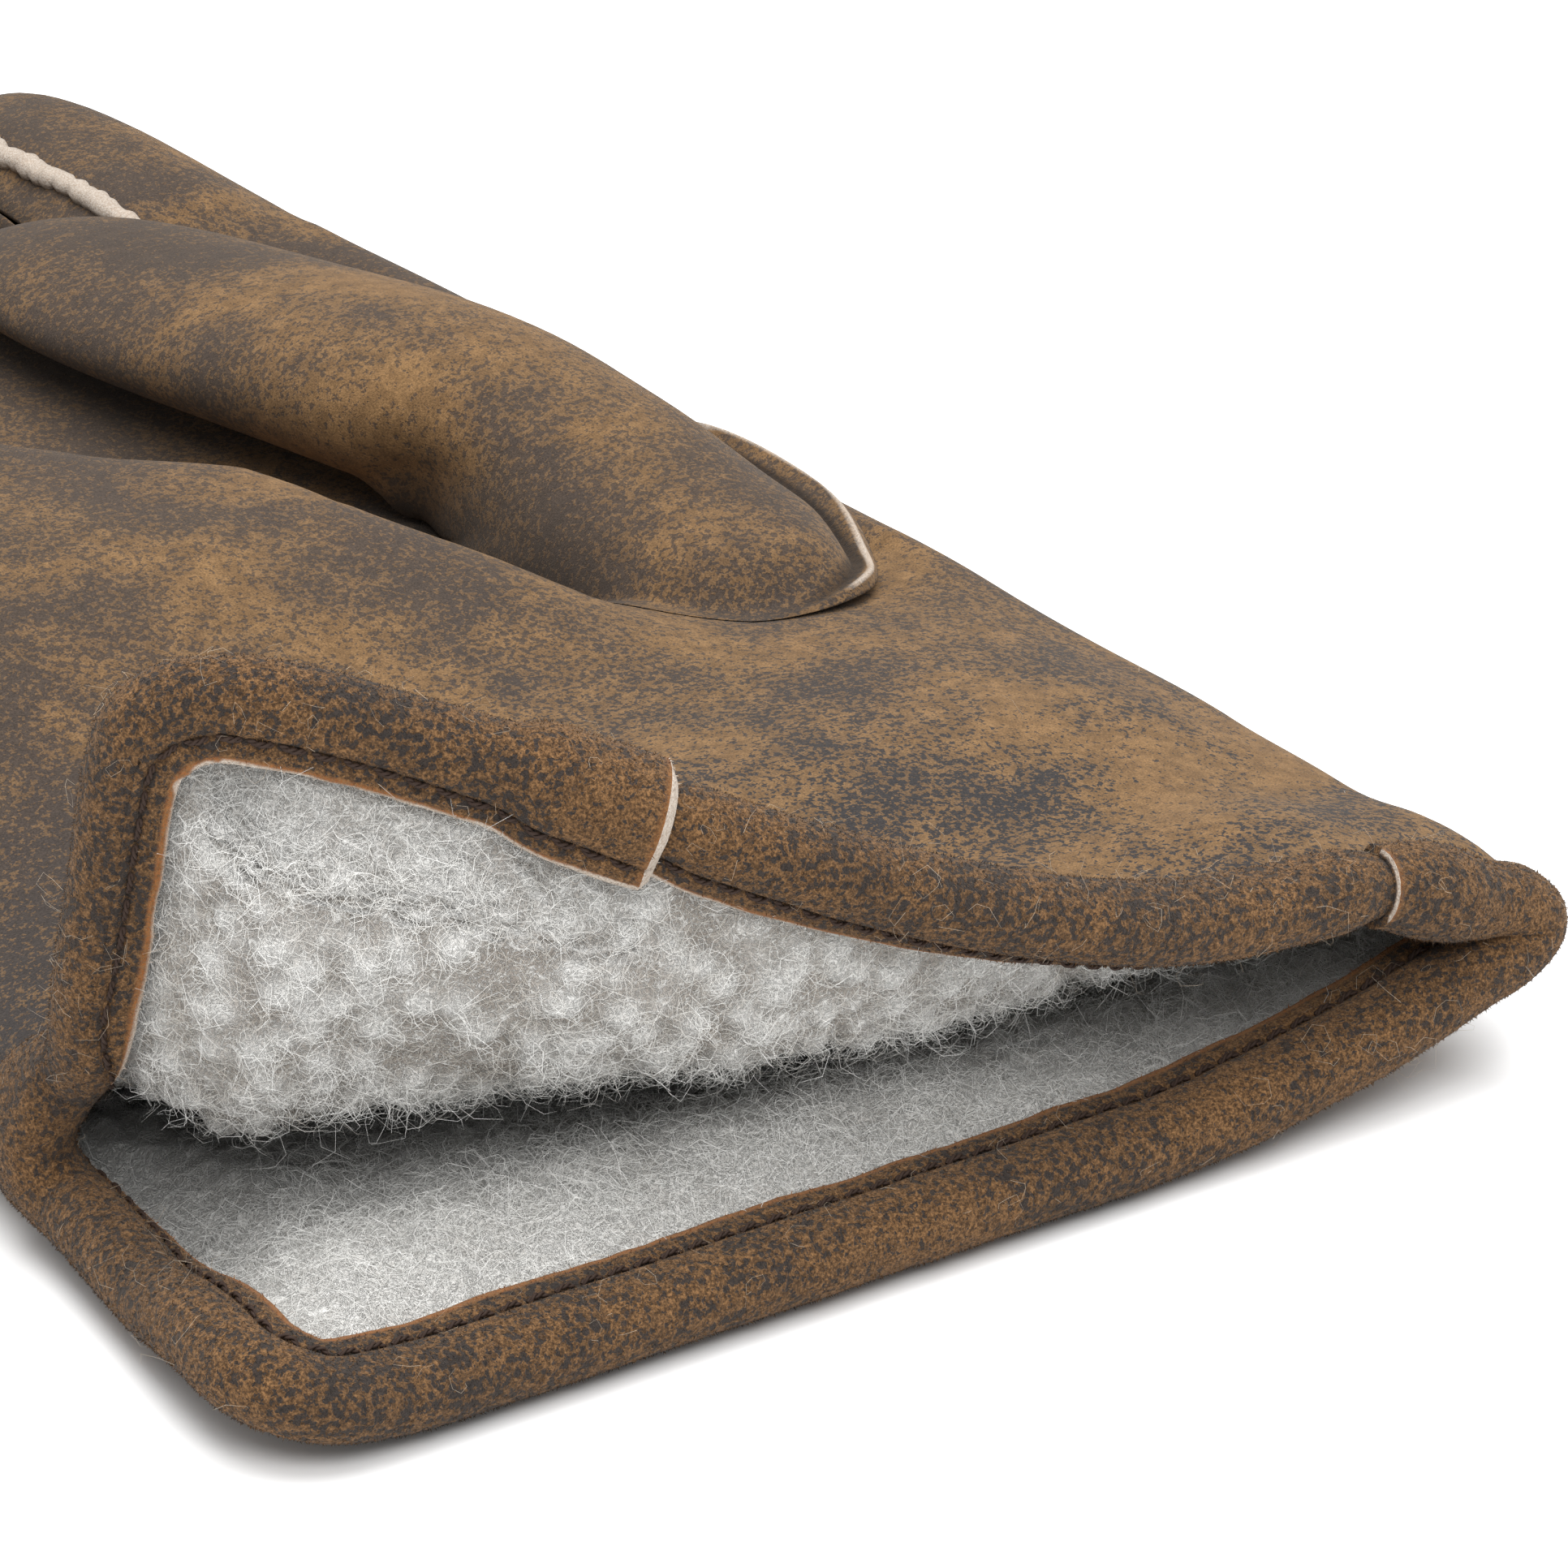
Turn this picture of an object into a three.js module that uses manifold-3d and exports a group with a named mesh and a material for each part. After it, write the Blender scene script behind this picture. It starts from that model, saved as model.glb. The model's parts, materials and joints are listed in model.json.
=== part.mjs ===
// Sheepskin dress glove for the right hand, lying palm up with its bound cuff open.
// Millimetres, +Z up. The fingers point along +Y, the thumb side is +X, and the origin is
// on the surface that the glove lies on, under the middle of its back.
import * as THREE from 'three';
import Module from 'manifold-3d';

// Thicknesses, and the gaps that keep the pieces apart
const LEATHER = 1.2;
const GAP = 0.3;
const SEAM_GAP = 0.45;
const PULL_MOST = 0.7;
const BINDING_GAP = 0.45;

// The wool: how thick it stands in the hand, on the folded panel, pressed under the
// binding and in the cuff's crease, and how much thinner it is near the vent's end.
const WOOL = 5;
const WOOL_FLAP = 8;
const WOOL_BOUND = 1.4;
const WOOL_CREASED = 1.0;
const WOOL_IN_CREASE = 2.1;
const CREASE_REACH = { from: 4, to: 24 };
const VENT_PRESS = { bound: 0.75, free: 0.4, from: 4, upper: 12, to: 20 };
const SPRING = { from: 0.5, to: 8 };
const FLAP_WOOL_FADE = { before: 4, after: 16 };
const WOOL_SLACK = { plain: 0.35, vent: 0.9 };

// The cuff and its vent on the little-finger side
const HAND_MIDDLE = 110;
const VENT_END = 38;
const SLOT = 4.2;
const CORNER = 7;
const BINDING_OUTSIDE = 4.5;
const BINDING_INSIDE = 4.2;
const STRIP_ENDS = { middle: 202.5, far: 141.5 };
const OVERLAP = 7;
const OVERLAP_RAMP = 4;
const ROLL = [0, 45, 90, 135, 180];

// How the cuff's palm panel folds up and back from the vent
const FLAP = {
  angle: 80, near: -0.02, far: 1.12, hinge_power: 1.5, hinge_drop: 2, bend: 6.6, lean: 7.6, high: 34,
};
const SEAM_EASE = { across: 7, along: 8 };
const HEM_LIFT = { up: 2.2, from: 9, to: 22 };
const FOLD_RISE = { up: 4.6, from: 0.32, fades: 30 };
const FOLD_PINCH = { share: 0.36, from: 0.66, to: 1, below: 4, fades: 30 };
const CURL = { low: 0.3, up: -0.24, reach: 0.8 };

// Cross-sections of the hand, from the hem to the finger roots. BULGE squares the crown
// off, EDGE is where the rounded sides start, and the underside rests flat up to REST.
const BULGE = 2.3;
const EDGE = 0.9;
const REST = { flat: 0.7, rise: 0.22 };
const SECTIONS = [
  { y: 0, near: -58.7, far: 57, side: 5.9, crown: 18, lean: 0 },
  { y: 34, near: -55.5, far: 57, side: 9.8, crown: 23, lean: 0 },
  { y: 60, near: -55, far: 57.4, side: 10, crown: 21.2, lean: 0.01 },
  { y: 90, near: -56, far: 55.8, side: 10, crown: 26.7, lean: -0.27 },
  { y: 120, near: -55, far: 55.3, side: 10, crown: 26, lean: -0.29 },
  { y: 150, near: -53, far: 54.3, side: 10, crown: 23.3, lean: -0.14 },
  { y: 172, near: -51, far: 53.3, side: 9.5, crown: 20.3, lean: 0 },
];

const ROOT_SECTION = SECTIONS[SECTIONS.length - 1];

// The hollow in the palm under the thumb: the middles of its near and far slopes, the
// height of its floor and how far the palm is pulled down to it.
const HOLLOW = [
  { y: 58, near: 24.5, floor: 11, share: 0 },
  { y: 80, near: 18, floor: 11, share: 0.55 },
  { y: 96, near: 11.5, floor: 10.6, share: 0.97 },
  { y: 109, near: 2.5, floor: 10.4, share: 1 },
  { y: 118, near: -6.5, floor: 10.6, share: 1 },
  { y: 135, near: -15.5, floor: 11.2, share: 1 },
  { y: 152, near: -20, floor: 11.8, share: 0.95 },
  { y: 172, near: -22, floor: 12.2, share: 0.75 },
];
const HOLLOW_SLOPES = { near: 7, far: 4, far_middle: 47 };

const FINGERS = [
  { name: 'little', wide: 24, high: 17.5, long: 55, heading: -11, root: 162 },
  { name: 'ring', wide: 27.5, high: 19.5, long: 70, heading: -7.5, root: 166 },
  { name: 'middle', wide: 29, high: 20, long: 76, heading: -4, root: 171 },
  { name: 'index', wide: 22.5, high: 18.5, long: 51, heading: 0, root: 169 },
];
const INDEX_OUTER_ROOT = 166;
const ROOTS_START = 140;
const RIBS = { before: 34, below: 0.6 };
const FINGER_GAP = 0.8;
const FINGER_EASE = 14;
const FINGER_TAPER = { wide: 0.88, high: 0.86 };
const TIP_ROUND = { reach: 0.62, least: 0.09, across: 0.8, middle: 0.45, out: 1 };
const CROTCH_BOW = 1.5;
const FINGER_STEPS = [0.16, 0.42, 0.7, 0.88, 0.97, 1];
const FOURCHETTE_STEPS = 3;

// The thumb: the loop where it is set into the palm, and its sections. turn is how far a
// section has swung from lying on the palm to standing across the thumb, reach how far it
// has moved on from the crotch.
const THUMB_LOOP = {
  x: 35, y: 92, wide: 13.6, long: 25, blunt: 2.2, rim: 1.6, turned: -4, bottom: 5.5, top: 45,
};
const THUMB_CROTCH = { x: 32.5, y: 117, lift: 1.2 };
const THUMB_HEADING = 14;
const THUMB_SLOPE = 0.06;
const THUMB = [
  { turn: 12.2, reach: 0, wide: 11.8, high: 23.7, roll: 0 },
  { turn: 15.2, reach: 0, wide: 11.2, high: 20.8, roll: 0 },
  { turn: 21.2, reach: 0, wide: 10.9, high: 16.4, roll: 2 },
  { turn: 31.5, reach: 0, wide: 10.8, high: 12.4, roll: 4 },
  { turn: 53, reach: 0, wide: 11.6, high: 8.8, roll: 5 },
  { turn: 80, reach: 1, wide: 13.3, high: 7.7, roll: 6 },
  { turn: 90, reach: 9, wide: 13.9, high: 7.2, roll: 5 },
  { turn: 90, reach: 19, wide: 13.8, high: 6.3, roll: 3 },
  { turn: 90, reach: 29, wide: 13.4, high: 5.4, roll: 1 },
  { turn: 90, reach: 39, wide: 12.6, high: 4.6, roll: 0 },
  { turn: 90, reach: 49, wide: 10.4, high: 3.7, roll: 0 },
  { turn: 90, reach: 56, wide: 6.2, high: 2.4, roll: 0 },
];
const THUMB_TIP = 59;
const THUMB_STANDS = 80;
const THUMB_SIDES = 20;
const WELT = { out: 1.6, up: 2.4, low_out: 0.5, low_up: 1.95, crease: 1.9, lip: 0.5, off: 0.6 };
const WELT_STANDS = { faces: 10, lies: -0.35, stands: 0.45 };

// How finely the skin is divided
const COLUMNS_PER_FINGER = 4;
const SIDE_COLUMNS = 4;
const CUFF_ROWS = [0, 0.1, 0.22, 0.35, 0.49, 0.63, 0.77, 0.89, 0.965];
const PALM_ROWS = [0, 0.046, 0.13, 0.215, 0.29, 0.37, 0.446, 0.52, 0.615, 0.72, 0.86, 1];
const WOOL_ROWS = 10;
const WOOL_SHRINK = { along: 22, least: 0.2 };
const WOOL_ROOF = { from: 28, to: 38 };

// The skin is laid out flat as a ring: c runs across from the vent seam over the back,
// round the fold on the thumb side and over the palm back to the seam, y from the hem.
const SIDE = 9;
const PANEL = 104;
const RING = 4 * SIDE + 2 * PANEL;
const FOLD = RING / 2;

const LOOKS = {
  leather: { color: 0x6b4a2c, roughness: 0.9, metalness: 0 },
  binding: { color: 0x5a3a20, roughness: 0.95, metalness: 0 },
  wool: { color: 0xd8d4cc, roughness: 1, metalness: 0 },
};

const UP = new THREE.Vector3(0, 0, 1);
const FORWARD = new THREE.Vector3(0, 1, 0);
const mix = (a, b, t) => a + (b - a) * t;
const clamp = (x, low, high) => Math.min(Math.max(x, low), high);
const radians = (degrees) => (degrees * Math.PI) / 180;
const blend = (p, q, t) => p.clone().lerp(q, t);

function smooth(from, to, x) {
  const t = clamp((x - from) / (to - from), 0, 1);
  return t * t * (3 - 2 * t);
}

// A named column of a table, read at y along a smooth curve through its rows.
function tableAt(table, key, y) {
  const last = table.length - 1;
  if (y <= table[0].y) return table[0][key];
  if (y >= table[last].y) return table[last][key];
  let i = 0;
  while (table[i + 1].y <= y) i += 1;
  const slope = (j) => {
    const a = table[Math.max(j - 1, 0)];
    const b = table[Math.min(j + 1, last)];
    return (b[key] - a[key]) / (b.y - a.y);
  };
  const step = table[i + 1].y - table[i].y;
  const t = (y - table[i].y) / step;
  const start = (2 * t ** 3 - 3 * t ** 2 + 1) * table[i][key] + (t ** 3 - 2 * t ** 2 + t) * step * slope(i);
  const end = (3 * t ** 2 - 2 * t ** 3) * table[i + 1][key] + (t ** 3 - t ** 2) * step * slope(i + 1);
  return start + end;
}

// Which side of the cross-section a place on the ring is on, and how far along it.
function faceOf(place) {
  let c = ((place % RING) + RING) % RING;
  if (c < SIDE) return { face: 'near', u: 0.5 + (0.5 * c) / SIDE };
  c -= SIDE;
  if (c < PANEL) return { face: 'back', u: -1 + (2 * c) / PANEL };
  c -= PANEL;
  if (c < 2 * SIDE) return { face: 'far', u: 1 - c / (2 * SIDE) };
  c -= 2 * SIDE;
  if (c < PANEL) return { face: 'palm', u: 1 - (2 * c) / PANEL };
  c -= PANEL;
  return { face: 'near', u: (0.5 * c) / SIDE };
}

// A point of a stuffed cross-section: flat below where it rests, crowned above, round sides.
function sectionPoint(face, u, half, side, crown, lean) {
  const above = (f) => side + (crown - side) * (1 - Math.abs(f) ** BULGE) ** (1 / BULGE) * (1 + lean * f);
  const below = (f) => REST.rise * side * (Math.max(0, Math.abs(f) - REST.flat) / (EDGE - REST.flat)) ** 2;
  if (face === 'palm') return { x: half * u * EDGE, z: above(u * EDGE) };
  if (face === 'back') return { x: half * u * EDGE, z: below(u * EDGE) };
  const sign = face === 'far' ? 1 : -1;
  const high = above(sign * EDGE);
  const low = below(EDGE);
  const across = EDGE + (1 - EDGE) * Math.sin(Math.PI * u);
  return { x: sign * half * across, z: (high + low) / 2 + ((high - low) / 2) * Math.cos(Math.PI * u) };
}

function hollowed(x, y, z) {
  const near = tableAt(HOLLOW, 'near', y);
  const { near: wide, far: steep, far_middle: far } = HOLLOW_SLOPES;
  const across = smooth(near - wide, near + wide, x) * (1 - smooth(far - steep, far + steep, x));
  const floor = tableAt(HOLLOW, 'floor', y);
  return z <= floor ? z : mix(z, floor, across * tableAt(HOLLOW, 'share', y));
}

// At the hem the panels close in on the fold's middle.
function pinched(share, y, z, middle) {
  const near_hem = 1 - smooth(0, FOLD_PINCH.fades, y);
  const weight = FOLD_PINCH.share * smooth(FOLD_PINCH.from, FOLD_PINCH.to, share) * near_hem;
  return mix(z, middle - FOLD_PINCH.below, weight);
}

// Where each finger starts and ends across the hand, as shares of its width.
const FINGER_CUTS = FINGERS.reduce((cuts, f) => [...cuts, cuts[cuts.length - 1] + f.wide], [0])
  .map((w, i, all) => w / all[all.length - 1]);

// The finger roots don't lie on one straight line.
function rootY(u) {
  const ends = [...FINGERS.map((f) => f.root), INDEX_OUTER_ROOT];
  const share = clamp((u + 1) / 2, 0, 1);
  let i = 0;
  while (i < 3 && FINGER_CUTS[i + 1] < share) i += 1;
  return mix(ends[i], ends[i + 1], (share - FINGER_CUTS[i]) / (FINGER_CUTS[i + 1] - FINGER_CUTS[i]));
}

// Towards the roots each finger already shows as a low rib.
function withRibs(face, u, y, half, z) {
  const weight = smooth(FINGERS[0].root - RIBS.before, FINGERS[2].root, y);
  if (weight === 0 || (face !== 'palm' && face !== 'back')) return z;
  const share = (u + 1) / 2;
  let i = 0;
  while (i < 3 && FINGER_CUTS[i + 1] <= share) i += 1;
  const width = FINGER_CUTS[i + 1] - FINGER_CUTS[i];
  const local = (2 * (share - FINGER_CUTS[i])) / width - 1;
  const rib = sectionPoint(face, local, half * width, ROOT_SECTION.side, FINGERS[i].high, 0);
  return mix(z, face === 'palm' ? rib.z : rib.z * RIBS.below, weight);
}

// The palm panel of the cuff is folded up about a line that runs from the vent's end to
// the far end of the hem. share is 0 at the vent and 1 at the fold.
function foldUp(p, share, weight) {
  const hinge = (VENT_END - FLAP.hinge_drop) * (1 - share) ** FLAP.hinge_power;
  const angle = radians(FLAP.angle) * (1 - smooth(FLAP.near, FLAP.far, share));
  const past = hinge - p.y;
  if (past <= -FLAP.bend || angle < 0.001) return p;
  const turned = (angle * Math.min(past + FLAP.bend, 2 * FLAP.bend)) / (2 * FLAP.bend);
  const radius = (2 * FLAP.bend) / angle;
  const straight = Math.max(past - FLAP.bend, 0);
  const forward = radius * Math.sin(turned) + straight * Math.cos(angle);
  const up = radius * (1 - Math.cos(turned)) + straight * Math.sin(angle);
  const lean = FLAP.lean * (1 - share) ** FLAP.hinge_power * (up / FLAP.high);
  return blend(p, new THREE.Vector3(p.x + lean, hinge + FLAP.bend - forward, p.z + up), weight);
}

// The outer surface of the leather at a place of the flat layout.
function skin(place, y) {
  const c = ((place % RING) + RING) % RING;
  const { face, u } = faceOf(c);
  const row = Object.fromEntries(Object.keys(SECTIONS[0]).map((key) => [key, tableAt(SECTIONS, key, y)]));
  const middle = (row.near + row.far) / 2;
  const half = (row.far - row.near) / 2;
  let { x, z } = sectionPoint(face, u, half, row.side, row.crown, row.lean);
  if (face === 'near' && y < VENT_END) {
    const flat = smooth(0, CURL.reach, (VENT_END - y) / VENT_END);
    const low = u > 0.5;
    const edge = sectionPoint(low ? 'back' : 'palm', -1, half, row.side, row.crown, row.lean);
    const arc = low ? (SIDE * (1 - u)) / 0.5 : (SIDE * u) / 0.5;
    const slope = low ? CURL.low : CURL.up;
    x = mix(x, edge.x - arc / Math.hypot(1, slope), flat);
    z = mix(z, edge.z + (arc * slope) / Math.hypot(1, slope), flat);
  }
  x += middle;
  z = withRibs(face, u, y, half, z);
  if (face === 'palm') z = hollowed(x, y, z);
  z = pinched(x / row.far, y, z, sectionPoint('far', 0.5, half, row.side, row.crown, row.lean).z);
  z += FOLD_RISE.up * smooth(FOLD_RISE.from, 1, x / row.far) * (1 - smooth(0, FOLD_RISE.fades, y));
  z += HEM_LIFT.up * (1 - smooth(HEM_LIFT.from, HEM_LIFT.to, y));
  const p = new THREE.Vector3(x, y, z);
  if (c <= FOLD) return p;
  const share = clamp((RING - c - SLOT) / (FOLD - SLOT), 0, 1);
  const weight = mix(smooth(0, SEAM_EASE.across, RING - c), 1, smooth(0, SEAM_EASE.along, VENT_END - y));
  return foldUp(p, share, weight);
}

function skinNormal(c, y) {
  const step = 0.4;
  const across = skin(c + step, y).sub(skin(c - step, y));
  const along = skin(c, y + step).sub(skin(c, y));
  return along.cross(across).normalize();
}

function fromVent(c, y) {
  const ring = ((c % RING) + RING) % RING;
  return Math.hypot(Math.min(ring, RING - ring), y - VENT_END);
}

// How thick the wool is at a place of the open cuff: pressed by the binding, creased at the
// fold, and springing up where the palm's panel bends back.
function woolThickness(c, y, depth) {
  const ring = ((c % RING) + RING) % RING;
  const open = smooth(CREASE_REACH.from, CREASE_REACH.to, Math.abs(ring - FOLD));
  const from_vent = fromVent(c, y);
  const upper = ring > FOLD;
  const past = smooth(VENT_END - FLAP_WOOL_FADE.before, VENT_END + FLAP_WOOL_FADE.after, y);
  const full = upper ? mix(WOOL_FLAP, WOOL, past) : WOOL;
  const near_vent = (share, from, to) => mix(share, 1, smooth(from, to, from_vent));
  const pressed = mix(WOOL_CREASED, WOOL_BOUND, open)
    * near_vent(VENT_PRESS.bound, 2 * VENT_PRESS.from, VENT_PRESS.to);
  const free = mix(WOOL_IN_CREASE, full, open)
    * near_vent(VENT_PRESS.free, VENT_PRESS.from, upper ? VENT_PRESS.upper : VENT_PRESS.to);
  return mix(pressed, free, smooth(BINDING_INSIDE + SPRING.from, BINDING_INSIDE + SPRING.to, depth));
}
const rimWool = (c, y) => woolThickness(c, y, 0);

// Geometry from a list of points and triangles.
function makeGeometry(points, triangles) {
  const geometry = new THREE.BufferGeometry();
  geometry.setAttribute('position', new THREE.Float32BufferAttribute(points.flatMap((p) => p.toArray()), 3));
  geometry.setIndex(triangles.flat());
  geometry.computeVertexNormals();
  return geometry;
}

const splitQuad = ([a, b, c, d]) => [[a, b, c], [a, c, d]];

// A wall between an outer and an inner layer of the same points, closed along every free edge.
function thicken(outer, inner, faces) {
  const shift = outer.length;
  const directed = new Set(faces.flatMap(([a, b, c]) => [`${a},${b}`, `${b},${c}`, `${c},${a}`]));
  const triangles = faces.flatMap(([a, b, c]) => [[a, b, c], [c + shift, b + shift, a + shift]]);
  for (const edge of directed) {
    const [a, b] = edge.split(',').map(Number);
    if (!directed.has(`${b},${a}`)) triangles.push(...splitQuad([b, a, a + shift, b + shift]));
  }
  return compact([...outer, ...inner], triangles);
}

// Drops the points that no triangle uses.
function compact(points, triangles) {
  const used = [...new Set(triangles.flat())];
  const place = new Map(used.map((old, i) => [old, i]));
  return makeGeometry(used.map((i) => points[i]), triangles.map((t) => t.map((i) => place.get(i))));
}

// The ring's columns, with one at every edge between two fingers.
function ringColumns() {
  const across = [];
  for (let i = 0; i < 4; i += 1) {
    for (let j = 0; j < COLUMNS_PER_FINGER; j += 1) {
      across.push(mix(FINGER_CUTS[i], FINGER_CUTS[i + 1], j / COLUMNS_PER_FINGER));
    }
  }
  across.push(1);
  const side = (j) => (2 * SIDE * j) / SIDE_COLUMNS;
  const columns = [];
  for (let j = 0; j < SIDE_COLUMNS / 2; j += 1) columns.push(side(j));
  for (const share of across) columns.push(SIDE + PANEL * share);
  for (let j = 1; j < SIDE_COLUMNS; j += 1) columns.push(SIDE + PANEL + side(j));
  for (const share of across.slice().reverse()) columns.push(RING - SIDE - PANEL * share);
  for (let j = 1; j <= SIDE_COLUMNS / 2; j += 1) columns.push(RING - SIDE + side(j));
  return columns;
}
const COLUMNS = ringColumns();
const LAST = COLUMNS.length - 1;
const BACK_START = SIDE_COLUMNS / 2;
const PALM_START = BACK_START + 4 * COLUMNS_PER_FINGER + SIDE_COLUMNS;

// Half the width of the vent's slot at a height y.
function slotAt(y) {
  const past = y - (VENT_END - SLOT);
  return past <= 0 ? SLOT : Math.sqrt(Math.max(SLOT ** 2 - past ** 2, 0));
}

// Place in the flat layout of a column of the open cuff: the columns of the near side
// start at the slot, and the hem's corners are round.
function cuffPlace(k, fraction) {
  const mirrored = k > LAST / 2;
  const plain = mirrored ? RING - COLUMNS[k] : COLUMNS[k];
  const c_hem = plain < SIDE ? mix(SLOT, SIDE, plain / SIDE) : plain;
  const inset = clamp(CORNER - (c_hem - SLOT), 0, CORNER);
  const y_hem = CORNER - Math.sqrt(CORNER ** 2 - inset ** 2);
  const y = mix(y_hem, VENT_END, fraction);
  const c = plain < SIDE ? mix(slotAt(y), SIDE, plain / SIDE) : plain;
  return { c: mirrored ? RING - c : c, y };
}

function palmPlace(k, fraction) {
  const { face, u } = faceOf(COLUMNS[k]);
  const across = face === 'near' ? -1 : face === 'far' ? 1 : u;
  return { c: COLUMNS[k], y: mix(VENT_END, rootY(across), fraction) };
}

// The whole outer skin as one list of points: the cuff's open rows, the palm's closed
// rows, then each finger's rings, which start from the palm's last row.
function buildSkin() {
  const points = [];
  const places = [];
  const add = (p, place) => {
    points.push(p);
    places.push(place);
    return points.length - 1;
  };
  const rows = CUFF_ROWS.map((fraction) => COLUMNS.map((_, k) => {
    const place = cuffPlace(k, fraction);
    return add(skin(place.c, place.y), place);
  }));
  for (const fraction of PALM_ROWS) {
    const row = COLUMNS.slice(0, -1).map((_, k) => {
      const place = palmPlace(k, fraction);
      return add(skin(place.c, place.y), place);
    });
    rows.push([...row, row[0]]);
  }
  const quads = [];
  for (let r = 0; r < rows.length - 1; r += 1) {
    for (let k = 0; k < LAST; k += 1) {
      quads.push([rows[r][k], rows[r + 1][k], rows[r + 1][k + 1], rows[r][k + 1]]);
    }
  }
  const crotches = [1, 2, 3].map((i) => buildCrotch(i, rows[rows.length - 1], points, add));
  const fingers = FINGERS.map((_, i) => buildFinger(i, rows[rows.length - 1], crotches, points, add));
  return { points, places, rows, quads, fingers };
}

const backColumn = (cut) => BACK_START + cut * COLUMNS_PER_FINGER;
const palmColumn = (cut) => PALM_START + (4 - cut) * COLUMNS_PER_FINGER;

// The short line between two fingers, from the palm down to the back.
function buildCrotch(cut, root, points, add) {
  const above = points[root[palmColumn(cut)]];
  const below = points[root[backColumn(cut)]];
  const inner = [];
  for (let j = 1; j < SIDE_COLUMNS; j += 1) {
    const t = j / SIDE_COLUMNS;
    const p = blend(above, below, t);
    p.y += CROTCH_BOW * Math.sin(Math.PI * t);
    inner.push(add(p, null));
  }
  return inner;
}

// One finger: rings of points from its root to its rounded tip. Each ring goes from the
// near side under the back, up the far side and back over the palm.
function buildFinger(i, root, crotches, points, add) {
  const finger = FINGERS[i];
  const shape = [];
  const steps = COLUMNS_PER_FINGER;
  for (let j = 0; j <= steps; j += 1) shape.push({ face: 'back', u: -1 + (2 * j) / steps });
  for (let j = 1; j < SIDE_COLUMNS; j += 1) shape.push({ face: 'far', u: 1 - j / SIDE_COLUMNS });
  for (let j = 0; j <= steps; j += 1) shape.push({ face: 'palm', u: 1 - (2 * j) / steps });
  for (let j = 1; j < SIDE_COLUMNS; j += 1) shape.push({ face: 'near', u: j / SIDE_COLUMNS });
  const back = root.slice(backColumn(i), backColumn(i + 1) + 1);
  const palm = root.slice(palmColumn(i + 1), palmColumn(i) + 1);
  const far = i === 3 ? root.slice(backColumn(4) + 1, palmColumn(4)) : crotches[i].slice().reverse();
  const near = i === 0 ? [...root.slice(palmColumn(0) + 1, LAST), root[0], ...root.slice(1, backColumn(0))]
    : crotches[i - 1];
  const first = [...back, ...far, ...palm, ...near];
  const rings = [first];
  const edge_near = i === 0 ? points[near[(SIDE_COLUMNS - 2) / 2]] : points[back[0]];
  const edge_far = i === 3 ? points[far[(SIDE_COLUMNS - 2) / 2]] : points[back[steps]];
  const from = edge_near.clone().add(edge_far).multiplyScalar(0.5);
  const half = Math.abs(edge_far.x - edge_near.x) / 2;
  const heading = radians(finger.heading);
  const tip = finger.wide * TIP_ROUND.reach;
  for (const step of FINGER_STEPS) {
    const distance = finger.long * step;
    const left = finger.long - distance;
    const round = left < tip ? Math.sqrt(Math.max(1 - ((tip - left) / tip) ** 2, TIP_ROUND.least)) : 1;
    const slim = mix(1, FINGER_TAPER.wide, step);
    const gap = FINGER_GAP * smooth(0, FINGER_EASE / 2, distance);
    const wide = (half - gap) * slim * round ** TIP_ROUND.across;
    const high = finger.high * mix(1, FINGER_TAPER.high, step);
    const side = ROOT_SECTION.side * mix(1, FINGER_TAPER.high, step);
    const ring = shape.map(({ face, u }, j) => {
      const local = sectionPoint(face, u, wide, side, high, 0);
      const z = high * TIP_ROUND.middle * (1 - round) + local.z * round;
      const free = new THREE.Vector3(
        from.x + local.x * Math.cos(heading) + distance * Math.sin(heading),
        from.y - local.x * Math.sin(heading) + distance * Math.cos(heading),
        z,
      );
      const straight = points[first[j]].clone();
      straight.y += distance;
      return add(blend(straight, free, smooth(0, FINGER_EASE, distance)), null);
    });
    rings.push(ring);
  }
  const end = rings[rings.length - 1].map((k) => points[k]);
  const centre = end.reduce((sum, p) => sum.add(p), new THREE.Vector3()).divideScalar(end.length);
  centre.y += TIP_ROUND.out;
  return { rings, shape, centre: add(centre, null) };
}

// Quads and fans of one finger, sorted into the leather of the trank and the two sides.
function fingerFaces(i, finger) {
  const count = finger.shape.length;
  const trank = [];
  const sides = { far: [], near: [] };
  for (let r = 0; r < finger.rings.length - 1; r += 1) {
    for (let j = 0; j < count; j += 1) {
      const a = finger.rings[r];
      const b = finger.rings[r + 1];
      const next = (j + 1) % count;
      const quad = [a[j], b[j], b[next], a[next]];
      const side = sideOf(j);
      const outside = (side === 'near' && i === 0) || (side === 'far' && i === 3);
      const open = side && r < FOURCHETTE_STEPS && !outside;
      (open ? sides[side] : trank).push(quad);
    }
  }
  const tip = finger.rings[finger.rings.length - 1];
  const cap = tip.map((k, j) => [k, finger.centre, tip[(j + 1) % count]]);
  return { trank, sides, cap };
}

function sideOf(j) {
  const back = COLUMNS_PER_FINGER;
  if (j >= back && j < back + SIDE_COLUMNS) return 'far';
  if (j >= 2 * back + SIDE_COLUMNS) return 'near';
  return null;
}

// The points of a fourchette: along the far side of one finger to the crotch and on along
// the near side of the next, each row going from the palm to the back.
function fourchetteRows(fingers, i) {
  const back = COLUMNS_PER_FINGER;
  const first = fingers[i].rings.slice(0, FOURCHETTE_STEPS + 1)
    .map((ring) => ring.slice(back, back + SIDE_COLUMNS + 1).reverse());
  const second = fingers[i + 1].rings.slice(1, FOURCHETTE_STEPS + 1)
    .map((ring) => [...ring.slice(2 * back + SIDE_COLUMNS), ring[0]]);
  return [...first.reverse(), ...second];
}

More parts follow.
